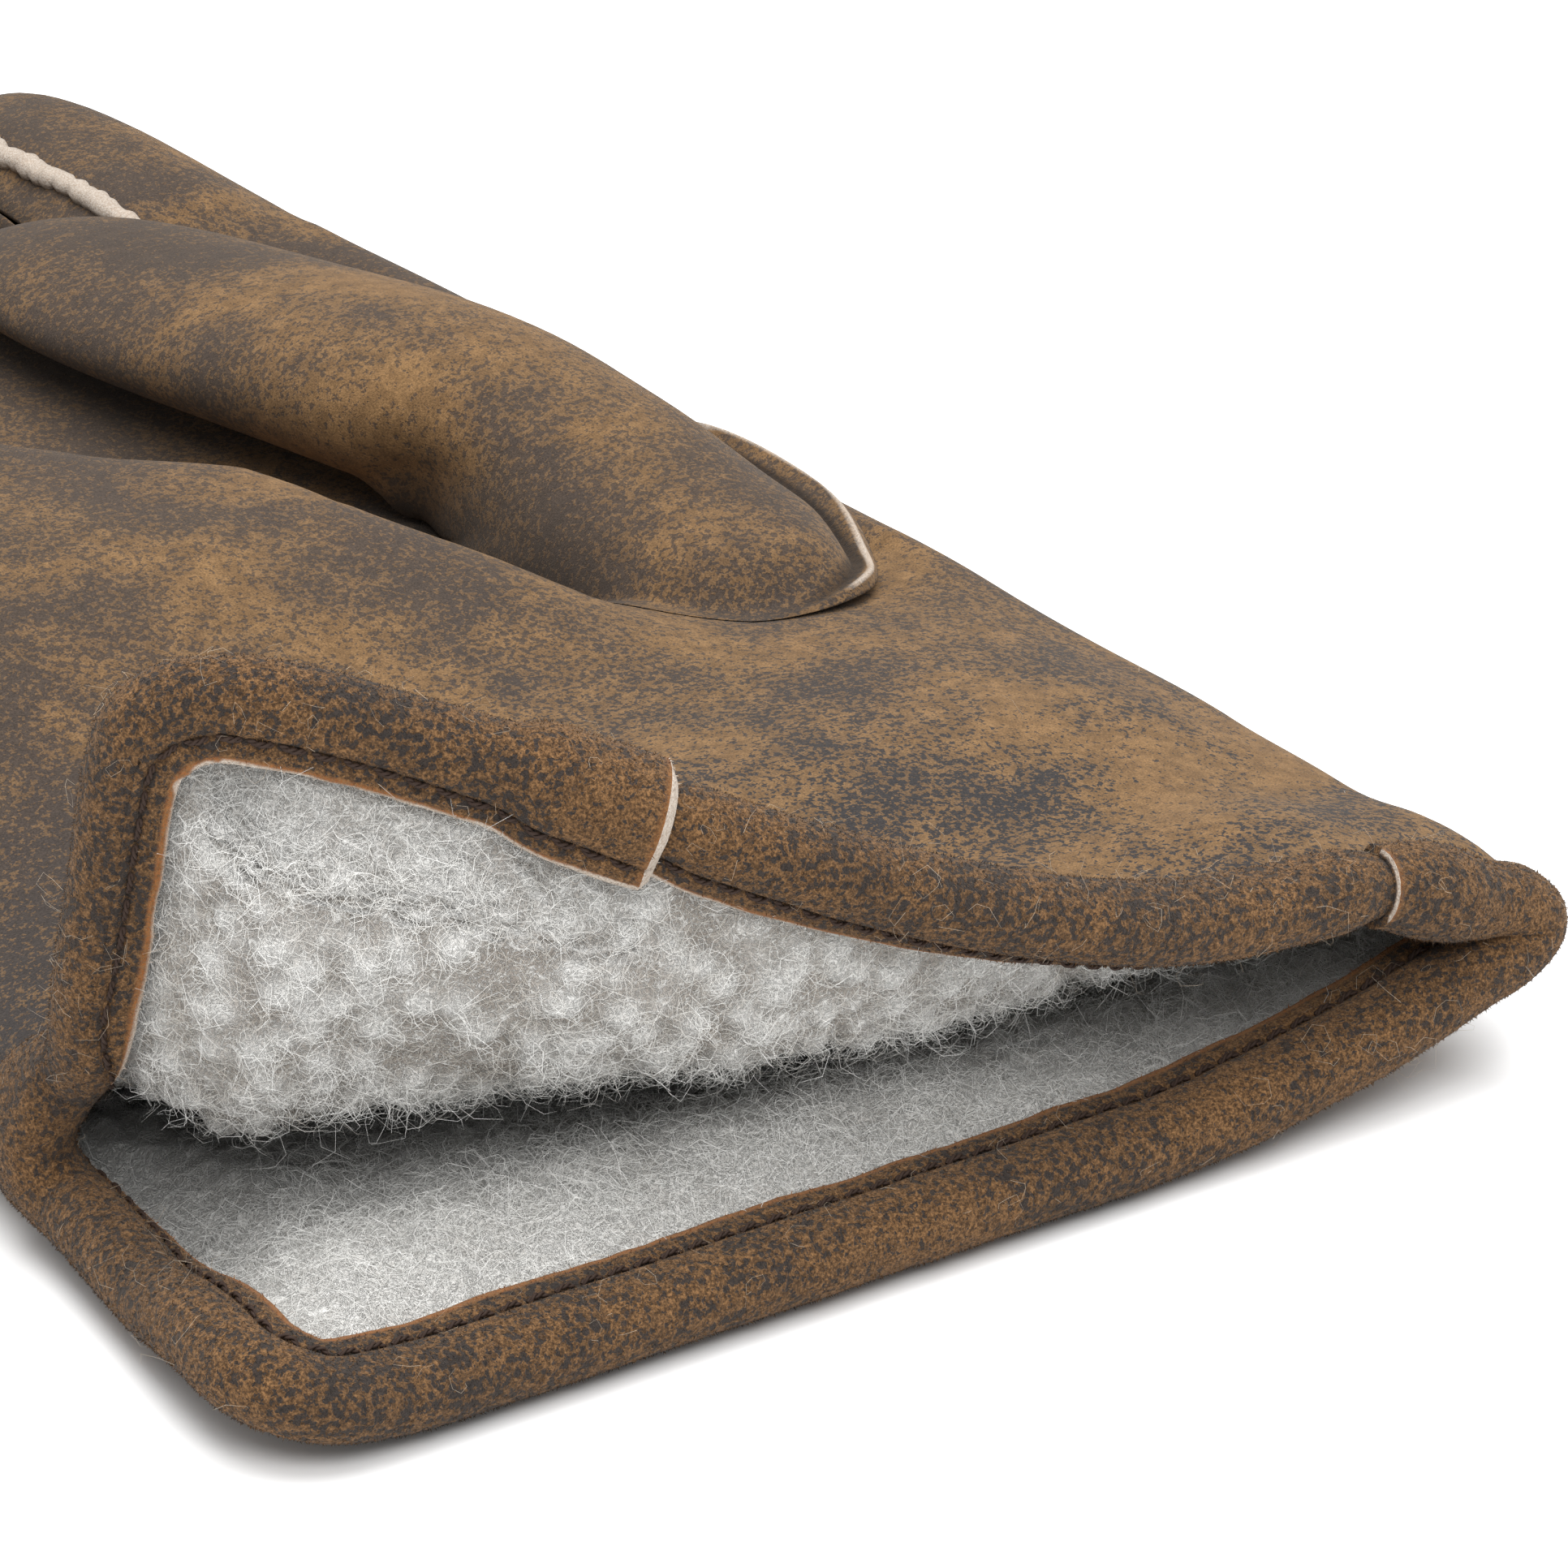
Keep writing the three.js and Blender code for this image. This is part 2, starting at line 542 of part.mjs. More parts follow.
function vertexNormals(points, triangles) {
  const normals = points.map(() => new THREE.Vector3());
  for (const [a, b, c] of triangles) {
    const n = points[b].clone().sub(points[a]).cross(points[c].clone().sub(points[a]));
    for (const k of [a, b, c]) normals[k].add(n);
  }
  return normals.map((n) => n.normalize());
}

const offset = (points, normals, distance) => (
  points.map((p, i) => p.clone().addScaledVector(normals[i], distance)));

// The trank and the fourchettes share one skin, parted by a narrow gap.
const hand = buildSkin();
const finger_faces = hand.fingers.map((finger, i) => fingerFaces(i, finger));
const trank_faces = [
  ...hand.quads.flatMap(splitQuad),
  ...finger_faces.flatMap((f) => [...f.trank.flatMap(splitQuad), ...f.cap]),
];
const side_faces = finger_faces.flatMap((f) => [...f.sides.far, ...f.sides.near].flatMap(splitQuad));
// Away from the roots the skin's own normals are exact, also along its free edges.
const hand_normals = vertexNormals(hand.points, [...trank_faces, ...side_faces]).map((normal, i) => {
  const place = hand.places[i];
  return place && place.y < ROOTS_START ? skinNormal(place.c, place.y) : normal;
});

const wasm = await Module();
wasm.setup();

function toManifold(geometry) {
  const vertProperties = new Float32Array(geometry.getAttribute('position').array);
  const triVerts = new Uint32Array(geometry.getIndex().array);
  return new wasm.Manifold(new wasm.Mesh({ numProp: 3, vertProperties, triVerts }));
}

function fromManifold(solid) {
  const mesh = solid.getMesh();
  const points = [];
  for (let i = 0; i < mesh.vertProperties.length; i += 3) {
    points.push(new THREE.Vector3(...mesh.vertProperties.slice(i, i + 3)));
  }
  const triangles = [];
  for (let i = 0; i < mesh.triVerts.length; i += 3) triangles.push([...mesh.triVerts.slice(i, i + 3)]);
  return makeGeometry(points, triangles);
}

// The loop of the thumb's seam seen from above, grown or shrunk by a margin.
function loopXY(angle, margin) {
  const power = 2 / THUMB_LOOP.blunt;
  const c = Math.cos(angle);
  const s = Math.sin(angle);
  const across = (THUMB_LOOP.wide + margin) * Math.sign(c) * Math.abs(c) ** power;
  const along = (THUMB_LOOP.long + margin) * Math.sign(s) * Math.abs(s) ** power;
  const turn = radians(THUMB_LOOP.turned);
  return {
    x: THUMB_LOOP.x + across * Math.cos(turn) - along * Math.sin(turn),
    y: THUMB_LOOP.y + across * Math.sin(turn) + along * Math.cos(turn),
  };
}

// Place on the palm's side of the ring that lies at x, found by halving.
function placeAt(x, y) {
  let low = FOLD;
  let high = RING - SIDE;
  for (let i = 0; i < 30; i += 1) {
    const c = (low + high) / 2;
    if (skin(c, y).x > x) low = c;
    else high = c;
  }
  return (low + high) / 2;
}

// A point over the palm near the thumb's seam: margin outwards, height off the leather.
function overPalm(angle, margin, height) {
  const { x, y } = loopXY(angle, margin);
  const c = placeAt(x, y);
  return skin(c, y).addScaledVector(skinNormal(c, y), height);
}

const thumbAngles = () => Array.from({ length: THUMB_SIDES }, (_, i) => (2 * Math.PI * i) / THUMB_SIDES);

function thumbHole() {
  const { bottom, top } = THUMB_LOOP;
  const angles = thumbAngles();
  const rim = angles.map((a) => loopXY(a, -THUMB_LOOP.rim));
  const points = [bottom, top].flatMap((z) => rim.map(({ x, y }) => new THREE.Vector3(x, y, z)));
  const count = rim.length;
  const triangles = [];
  for (let i = 0; i < count; i += 1) {
    const next = (i + 1) % count;
    triangles.push(...splitQuad([i, next, next + count, i + count]));
    if (i > 0 && i < count - 1) triangles.push([0, i + 1, i], [count, count + i, count + i + 1]);
  }
  return makeGeometry(points, triangles);
}

function makeTrank(hole) {
  const inner = offset(hand.points, hand_normals, -LEATHER);
  return fromManifold(toManifold(thicken(hand.points, inner, trank_faces)).subtract(hole));
}

// Pulls the free edges of a grid of points in by a gap, but never as far as the next points.
function pullIn(grid, gap, middle_gap) {
  const toward = (p, q, by) => blend(p, q, Math.min(by / p.distanceTo(q), PULL_MOST));
  const last = grid.length - 1;
  const narrow = grid.map((row, r) => row.map((p, j) => {
    const by = Math.abs(r - last / 2) < 2 ? middle_gap : gap;
    if (j === 0) return toward(p, row[1], by);
    if (j === row.length - 1) return toward(p, row[j - 1], by);
    return p;
  }));
  return narrow.map((row, r) => row.map((p, j) => {
    if (r === 0) return toward(p, narrow[1][j], gap);
    if (r === last) return toward(p, narrow[last - 1][j], gap);
    return p;
  }));
}

function gridFaces(rows, columns) {
  const faces = [];
  for (let r = 0; r < rows - 1; r += 1) {
    for (let j = 0; j < columns - 1; j += 1) {
      const a = r * columns + j;
      faces.push(...splitQuad([a, a + columns, a + columns + 1, a + 1]));
    }
  }
  return faces;
}

// In the crotch itself the two sides face each other, so its own normal is forward.
function makeFourchette(i) {
  const rows = fourchetteRows(hand.fingers, i);
  const crotch = (rows.length - 1) / 2;
  const moved = (k, r, distance) => (
    hand.points[k].clone().addScaledVector(r === crotch ? FORWARD : hand_normals[k], distance));
  const layer = (distance, middle_gap) => (
    pullIn(rows.map((row, r) => row.map((k) => moved(k, r, distance))), SEAM_GAP, middle_gap));
  const outer = layer(0, 3 * SEAM_GAP).flat();
  const inner = layer(-LEATHER, 4 * SEAM_GAP).flat();
  return thicken(outer, inner, gridFaces(rows.length, rows[0].length));
}

// The hand's hollow inside doesn't rise into the narrow ridge beyond the thumb's hollow.
function woolRoof({ x, y, z }) {
  const ridge = tableAt(HOLLOW, 'share', y) * smooth(WOOL_ROOF.from, WOOL_ROOF.to, x);
  return mix(z, Math.min(z, tableAt(HOLLOW, 'floor', y)), ridge);
}

// The wool's inner surface. In the open cuff it follows the skin, deeper in the hand it
// is a smaller cross-section, so that its sides never meet.
function woolInside(rows, r, k) {
  const id = rows[r][k];
  const place = hand.places[id];
  const depth = rimDepth(place);
  const bound = 1 - smooth(BINDING_INSIDE + SPRING.from, BINDING_INSIDE + SPRING.to / 2, depth);
  const from_vent = fromVent(place.c, place.y);
  const slack = mix(WOOL_SLACK.vent, WOOL_SLACK.plain, smooth(2 * VENT_PRESS.from, VENT_PRESS.to, from_vent));
  const thick = LEATHER + GAP + woolThickness(place.c, place.y, depth) - slack * bound;
  const straight = hand.points[id].clone().addScaledVector(hand_normals[id], -thick);
  if (r < CUFF_ROWS.length) return straight;
  const p = hand.points[id];
  const mirror = hand.points[rows[r][mirrorColumn(k)]];
  const edge = k <= BACK_START || k >= LAST - BACK_START ? [BACK_START, LAST - BACK_START]
    : [backColumn(4), palmColumn(4)];
  const on_side = k < BACK_START || k > LAST - BACK_START || (k > backColumn(4) && k < palmColumn(4));
  const corners = on_side ? edge.map((e) => hand.points[rows[r][e]]) : [p, mirror];
  const heights = corners.map((corner) => woolRoof(corner));
  const middle = (heights[0] + heights[1]) / 2;
  const half_height = Math.abs(heights[1] - heights[0]) / 2;
  const near = tableAt(SECTIONS, 'near', p.y);
  const far = tableAt(SECTIONS, 'far', p.y);
  const centre = (near + far) / 2;
  const half = (far - near) / 2;
  const full = LEATHER + GAP + WOOL;
  const small = new THREE.Vector3(
    centre + (p.x - centre) * (1 - full / half),
    p.y,
    middle + (woolRoof(p) - middle) * Math.max(1 - full / half_height, WOOL_SHRINK.least),
  );
  return blend(straight, small, smooth(VENT_END, VENT_END + WOOL_SHRINK.along, p.y));
}

// The column straight above or below a column of the two panels.
function mirrorColumn(k) {
  return LAST - k;
}

// Distance from the rim in the flat layout.
function rimDepth({ c, y }) {
  const from_seam = Math.min(c, RING - c);
  const to_slot = Math.hypot(from_seam, Math.max(y - (VENT_END - SLOT), 0)) - SLOT;
  return Math.min(y, to_slot);
}

function makeWool(hole) {
  const rows = hand.rows.slice(0, CUFF_ROWS.length + WOOL_ROWS);
  const outer = offset(hand.points, hand_normals, -(LEATHER + GAP));
  const inner = outer.map((p) => p.clone());
  rows.forEach((row, r) => row.forEach((id, k) => {
    if (r < CUFF_ROWS.length || k < LAST) inner[id] = woolInside(rows, r, k);
  }));
  const quads = [];
  for (let r = 0; r < rows.length - 1; r += 1) {
    for (let k = 0; k < LAST; k += 1) {
      quads.push([rows[r][k], rows[r + 1][k], rows[r + 1][k + 1], rows[r][k + 1]]);
    }
  }
  return fromManifold(toManifold(thicken(outer, inner, quads.flatMap(splitQuad))).subtract(hole));
}

// A closed surface through rings of points, with a fan at each end.
function closedRings(rings, start, end) {
  const count = rings[0].length;
  const points = [start, ...rings.flat(), end];
  const at = (r, j) => 1 + r * count + (j % count);
  const triangles = [];
  for (let j = 0; j < count; j += 1) {
    triangles.push([0, at(0, j), at(0, j + 1)]);
    triangles.push([points.length - 1, at(rings.length - 1, j + 1), at(rings.length - 1, j)]);
    for (let r = 0; r < rings.length - 1; r += 1) {
      triangles.push(...splitQuad([at(r, j), at(r + 1, j), at(r + 1, j + 1), at(r, j + 1)]));
    }
  }
  return makeGeometry(points, triangles);
}

// Sections of the thumb: they swing up about its crotch, then move on along it.
function thumbRings() {
  const ground = overPalm(Math.PI / 2, 0, THUMB_CROTCH.lift);
  return THUMB.map(({ turn, reach, wide, high, roll }) => {
    const t = radians(turn);
    const r = radians(roll);
    const swing = smooth(0, THUMB_STANDS, turn);
    const yaw = radians(mix(THUMB_LOOP.turned, THUMB_HEADING, swing));
    const pivot = new THREE.Vector3(
      mix(ground.x, THUMB_CROTCH.x, swing) - Math.sin(yaw) * reach,
      THUMB_CROTCH.y + Math.cos(yaw) * reach,
      ground.z + THUMB_SLOPE * reach,
    );
    const down = new THREE.Vector3(-Math.sin(yaw) * Math.cos(t), Math.cos(yaw) * Math.cos(t), -Math.sin(t));
    const level = new THREE.Vector3(Math.cos(yaw), Math.sin(yaw), 0);
    const across = level.multiplyScalar(Math.cos(r)).addScaledVector(UP, -Math.sin(r));
    const centre = pivot.addScaledVector(down, -high);
    const power = 2 / mix(THUMB_LOOP.blunt, 2, swing);
    return thumbAngles().map((angle) => {
      const c = Math.cos(angle);
      const s = Math.sin(angle);
      return centre.clone()
        .addScaledVector(across, wide * Math.sign(c) * Math.abs(c) ** power)
        .addScaledVector(down, high * Math.sign(s) * Math.abs(s) ** power);
    });
  });
}

// The seam's edge stands up as a welt on the thumb's outer side and lies low on the palm's side.
function weltAt(angle) {
  const { faces, lies, stands } = WELT_STANDS;
  const share = smooth(lies, stands, Math.cos(angle - radians(faces)));
  return { out: mix(WELT.low_out, WELT.out, share), up: mix(WELT.low_up, WELT.up, share) };
}

function makeThumb() {
  const angles = thumbAngles();
  const ring = (margin, height) => angles.map((a) => overPalm(a, margin, height));
  const welt = (out_share, lip, up_share, off) => angles.map((a) => (
    overPalm(a, out_share * weltAt(a).out + lip, up_share * weltAt(a).up + off)));
  const outer = thumbRings();
  const last = outer[outer.length - 1];
  const centre = last.reduce((sum, p) => sum.add(p), new THREE.Vector3()).divideScalar(last.length);
  const before = outer[outer.length - 2].reduce((sum, p) => sum.add(p), new THREE.Vector3())
    .divideScalar(last.length);
  const forward = centre.clone().sub(before).normalize();
  const tip = centre.clone().addScaledVector(forward, THUMB_TIP - THUMB[THUMB.length - 1].reach);
  const skin_rings = [ring(0, WELT.crease), ...outer];
  const points = [...skin_rings.flat(), tip];
  const count = angles.length;
  const faces = [];
  for (let r = 0; r < skin_rings.length - 1; r += 1) {
    for (let j = 0; j < count; j += 1) {
      const next = (j + 1) % count;
      const above = count * (r + 1);
      faces.push(...splitQuad([r * count + j, r * count + next, above + next, above + j]));
    }
  }
  const top = (skin_rings.length - 1) * count;
  for (let j = 0; j < count; j += 1) faces.push([top + j, top + ((j + 1) % count), points.length - 1]);
  const inner = offset(points, vertexNormals(points, faces), -LEATHER);
  const inner_rings = skin_rings.map((_, r) => inner.slice(r * count, (r + 1) * count));
  const rings = [
    ...skin_rings.slice().reverse(),
    welt(1, 0, 1, 0),
    welt(1, WELT.lip, 1 / 2, 0),
    welt(1 / 2, 0, 0, WELT.off),
    ring(-LEATHER, WELT.off),
    ...inner_rings.slice(1),
  ];
  return closedRings(rings, tip, inner[inner.length - 1]);
}

// The rim from the end of the hem on the back, round its corner, up one edge of the vent,
// round the slot's end and down the other edge to the hem on the palm.
function ventStations() {
  const stretch = (kind, steps, from, to) => (
    Array.from({ length: steps }, (_, i) => ({ kind, t: mix(from, to, i / steps) })));
  return [
    ...stretch('back_corner', 4, 0, 1),
    ...stretch('back_edge', 3, 0, 1),
    ...stretch('slot', 7, 0, 1),
    ...stretch('palm_edge', 4, 0, 1),
    ...stretch('palm_corner', 4, 0, 1),
  ];
}

// Place in the flat layout, depth millimetres in from the rim.
function rimPlace({ kind, t }, depth) {
  const radius = Math.max(CORNER - depth, 0.5);
  const centre = { c: SLOT + depth + radius, y: depth + radius };
  const turn = (t * Math.PI) / 2;
  if (kind === 'slot') {
    const reach = SLOT + depth;
    return { c: reach * Math.cos(Math.PI * t), y: VENT_END - SLOT + reach * Math.sin(Math.PI * t) };
  }
  if (kind === 'palm_edge') return { c: -(SLOT + depth), y: mix(VENT_END - SLOT, centre.y, t) };
  if (kind === 'back_edge') return { c: SLOT + depth, y: mix(centre.y, VENT_END - SLOT, t) };
  if (kind === 'palm_corner') {
    return { c: -(centre.c - radius * Math.cos(turn)), y: centre.y - radius * Math.sin(turn) };
  }
  if (kind === 'back_corner') {
    return { c: centre.c - radius * Math.sin(turn), y: centre.y - radius * Math.cos(turn) };
  }
  return { c: mix(-centre.c, centre.c - RING, t), y: depth };
}

// One cross-section of the binding: a leg on the leather, the roll over the edge and a
// longer leg on the wool. lift raises it where it laps over the end of the other strip.
function bindingSection(station, lift) {
  const edge = rimPlace(station, 0);
  const pressed = rimWool(edge.c, edge.y);
  const pack = LEATHER + GAP + pressed;
  const at = (depth, height) => {
    const { c, y } = rimPlace(station, depth);
    return skin(c, y).addScaledVector(skinNormal(c, y), height);
  };
  const normal = skinNormal(edge.c, edge.y);
  const on_edge = skin(edge.c, edge.y);
  const inward = at(0.5, 0).sub(on_edge);
  inward.addScaledVector(normal, -inward.dot(normal)).normalize();
  const centre = on_edge.clone().addScaledVector(normal, -pack / 2);
  const arc = (extra, degrees) => {
    const a = radians(degrees);
    const radius = pack / 2 + extra;
    return centre.clone()
      .addScaledVector(normal, radius * Math.cos(a))
      .addScaledVector(inward, -radius * Math.sin(a));
  };
  const close = BINDING_GAP + lift;
  const away = close + LEATHER;
  return [
    at(BINDING_OUTSIDE, away), at(BINDING_OUTSIDE / 2, away), ...ROLL.map((a) => arc(away, a)),
    at(BINDING_INSIDE / 2, -pack - away), at(BINDING_INSIDE, -pack - away),
    at(BINDING_INSIDE, -pack - close), at(BINDING_INSIDE / 2, -pack - close),
    ...ROLL.map((a) => arc(close, 180 - a)), at(BINDING_OUTSIDE / 2, close), at(BINDING_OUTSIDE, close),
  ];
}

// A solid swept through cross-sections that all have the same number of points.
function sweep(sections) {
  const count = sections[0].length;
  const triangles = [];
  for (let s = 0; s < sections.length - 1; s += 1) {
    for (let j = 0; j < count; j += 1) {
      const a = s * count + j;
      const b = s * count + ((j + 1) % count);
      triangles.push(...splitQuad([a, b, b + count, a + count]));
    }
  }
  const last = (sections.length - 1) * count;
  const half = count / 2;
  for (let j = 0; j < half - 1; j += 1) {
    const [a, b, c, d] = [j, j + 1, count - 2 - j, count - 1 - j];
    triangles.push(...splitQuad([d, c, b, a]), ...splitQuad([a + last, b + last, c + last, d + last]));
  }
  return makeGeometry(sections.flat(), triangles);
}

// Where a place across the ring lies along the hem, from 0 at the vent to 1.
const hemShare = (c) => (RING - c - SLOT - CORNER) / (RING - 2 * (SLOT + CORNER));

// The ring's places at which a strip along the hem has its cross-sections.
function hemStops(...stretches) {
  return stretches.flatMap(({ from, to, steps }) => (
    Array.from({ length: steps }, (_, i) => mix(from, to, i / steps))));
}
const onHem = (c) => ({ kind: 'hem', t: hemShare(c) });
const LAP_MIDDLE = { from: STRIP_ENDS.middle + OVERLAP, to: STRIP_ENDS.middle, steps: 2 };
const LAP_FAR = { from: STRIP_ENDS.far, to: STRIP_ENDS.far - OVERLAP, steps: 2 };

// The short strip lies under both ends of the long one.
function makeShortBinding() {
  const stops = hemStops(LAP_MIDDLE, { from: LAP_MIDDLE.to, to: LAP_FAR.from, steps: 7 }, LAP_FAR);
  return sweep([...stops, LAP_FAR.to].map((c) => bindingSection(onHem(c), 0)));
}

function makeLongBinding() {
  const raised = LEATHER + GAP;
  const lifted = (stops) => stops.map((c) => bindingSection(onHem(c), raised));
  const level = (stations) => stations.map((station) => bindingSection(station, 0));
  const start = [...hemStops(LAP_FAR), LAP_FAR.to - GAP];
  const end = [LAP_MIDDLE.from + GAP, ...hemStops(LAP_MIDDLE).slice(1), LAP_MIDDLE.to];
  const level_again = LAP_MIDDLE.from + GAP + OVERLAP_RAMP;
  const hem = hemStops(
    { from: LAP_FAR.to - GAP - OVERLAP_RAMP, to: FOLD - SIDE, steps: 6 },
    { from: FOLD - SIDE, to: SLOT + CORNER, steps: 6 },
  );
  const last_stretch = hemStops({ from: RING - SLOT - CORNER, to: level_again, steps: 3 });
  return sweep([
    ...lifted(start),
    ...level(hem.map(onHem)),
    ...level(ventStations()),
    ...level([...last_stretch, level_again].map(onHem)),
    ...lifted(end),
  ]);
}

const group = new THREE.Group();

function addPiece(name, geometry, look) {
  const mesh = new THREE.Mesh(geometry, new THREE.MeshStandardMaterial(LOOKS[look]));
  mesh.name = name;
  group.add(mesh);
}

const hole = toManifold(thumbHole());
addPiece('trank', makeTrank(hole), 'leather');
['ring_little', 'middle_ring', 'index_middle'].forEach((pair, i) => {
  addPiece(`fourchette_${pair}`, makeFourchette(i), 'leather');
});
addPiece('thumb', makeThumb(), 'leather');
addPiece('cuff_binding_long', makeLongBinding(), 'binding');
addPiece('cuff_binding_short', makeShortBinding(), 'binding');
addPiece('wool_lining', makeWool(hole), 'wool');
group.position.y = -HAND_MIDDLE;

export default group;
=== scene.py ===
# %% [markdown]
# # A sheepskin glove, lying palm up
# A dress glove for the right hand, seen from its open cuff. The leather is turned suede side
# out and dyed brown, the wool is left on the inside, and a strip of the same leather binds
# the cuff. The solids come from the CAD frame; this lesson gives them their leather, wool,
# seams and stitches. Every length below is in millimetres until it becomes a mesh.

import json
import math

import bmesh
import bpy
import numpy as np
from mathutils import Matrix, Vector, kdtree, noise
from mathutils.bvhtree import BVHTree

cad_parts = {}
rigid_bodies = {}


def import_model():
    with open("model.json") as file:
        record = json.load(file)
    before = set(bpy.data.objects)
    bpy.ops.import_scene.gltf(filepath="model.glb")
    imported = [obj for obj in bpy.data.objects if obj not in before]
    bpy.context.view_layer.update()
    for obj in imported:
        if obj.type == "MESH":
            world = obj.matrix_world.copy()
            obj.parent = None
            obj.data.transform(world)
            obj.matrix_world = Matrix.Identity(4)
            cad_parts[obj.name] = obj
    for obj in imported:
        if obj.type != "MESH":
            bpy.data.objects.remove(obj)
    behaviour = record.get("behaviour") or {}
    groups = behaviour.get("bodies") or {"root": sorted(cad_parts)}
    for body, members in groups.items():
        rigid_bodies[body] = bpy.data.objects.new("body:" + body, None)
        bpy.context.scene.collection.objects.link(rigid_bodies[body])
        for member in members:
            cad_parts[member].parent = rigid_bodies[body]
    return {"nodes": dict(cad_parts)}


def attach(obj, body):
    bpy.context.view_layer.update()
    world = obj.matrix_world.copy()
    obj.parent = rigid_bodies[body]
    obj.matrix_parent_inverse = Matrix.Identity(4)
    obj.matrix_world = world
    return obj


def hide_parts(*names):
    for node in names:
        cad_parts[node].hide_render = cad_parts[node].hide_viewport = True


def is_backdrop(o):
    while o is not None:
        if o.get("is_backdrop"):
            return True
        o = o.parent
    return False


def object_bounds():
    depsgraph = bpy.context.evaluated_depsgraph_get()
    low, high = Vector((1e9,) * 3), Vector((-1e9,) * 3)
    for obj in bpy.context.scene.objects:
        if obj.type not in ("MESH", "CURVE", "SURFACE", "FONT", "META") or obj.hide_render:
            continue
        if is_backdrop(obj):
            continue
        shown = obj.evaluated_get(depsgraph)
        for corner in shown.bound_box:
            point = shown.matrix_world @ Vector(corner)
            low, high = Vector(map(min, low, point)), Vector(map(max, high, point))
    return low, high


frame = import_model()
cad_low, cad_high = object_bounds()
scene = bpy.context.scene
MM = 0.001
print("nodes:", ", ".join(sorted(frame["nodes"])))

# %% [markdown]
# ## Camera
# The photograph was taken with a long lens from low in front of the cuff. A long lens keeps
# the perspective weak, so the camera stands far off. Its place is written as the angles it
# looks along and two small steps sideways, which are easier to change than a position.

# %% Camera
CAMERA = {"azimuth": -34.51, "elevation": 25.83, "distance": 650, "right": 11.49, "up": 13.45}
LOOKS_AT = Vector((0, -70, 8))
LENS = 194.16


def camera_axes(azimuth, elevation):
    a, e = math.radians(azimuth), math.radians(elevation)
    back = Vector((math.sin(a) * math.cos(e), -math.cos(a) * math.cos(e), math.sin(e)))
    right = Vector((0, 0, 1)).cross(back).normalized()
    return right, back.cross(right), back


right, up, back = camera_axes(CAMERA["azimuth"], CAMERA["elevation"])
place = LOOKS_AT + back * CAMERA["distance"] + right * CAMERA["right"] + up * CAMERA["up"]
camera = bpy.data.objects.new("camera", bpy.data.cameras.new("camera"))
scene.collection.objects.link(camera)
camera.data.lens = LENS
camera.data.sensor_width = 36
camera.data.clip_start, camera.data.clip_end = 0.01, 20
camera.rotation_mode = "QUATERNION"
camera.rotation_quaternion = (-back).to_track_quat("-Z", "Y")
camera.location = place * MM
scene.camera = camera
print("camera at", [round(v) for v in place], "mm")

# %% [markdown]
# ## Floor and light
# A pale floor under large soft lights, as in a studio. Large area lights give the wide,
# faint shadows that let nap and wool show without hard edges.

# %% Floor and light
LIGHTS = {
    "overhead": {"at": (0.10, 0.05, 1.3), "size": 1.5, "power": 25},
    "front": {"at": (-0.40, -0.85, 1.05), "size": 0.7, "power": 10},
}
STUDIO_STRENGTH = 0.55
FLOOR_HALF = 3


def area_light(name, at, size, power):
    light = bpy.data.objects.new(name, bpy.data.lights.new(name, "AREA"))
    light.data.shape = "DISK"
    light.data.size = size
    light.data.energy = power
    light.location = at
    light.rotation_euler = (-Vector(at)).to_track_quat("-Z", "Y").to_euler()
    scene.collection.objects.link(light)


for name, sizes in LIGHTS.items():
    area_light(name, **sizes)

world = bpy.data.worlds.new("studio")
scene.world = world
world.use_nodes = True
sky = world.node_tree.nodes["Background"]
sky.inputs["Color"].default_value = (1, 1, 1, 1)
sky.inputs["Strength"].default_value = STUDIO_STRENGTH
scene.view_settings.view_transform = "Standard"

floor_mesh = bpy.data.meshes.new("floor")
corners = [(FLOOR_HALF * x, FLOOR_HALF * y, 0) for x, y in ((-1, -1), (1, -1), (1, 1), (-1, 1))]
floor_mesh.from_pydata(corners, [], [(0, 1, 2, 3)])
floor = bpy.data.objects.new("floor", floor_mesh)
scene.collection.objects.link(floor)
floor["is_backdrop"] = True

# %% [markdown]
# ## A short way to write materials
# A node material is a chain of small operations. This helper adds one node, sets its plain
# values and links the rest, so that a finish can be read as a recipe further down.

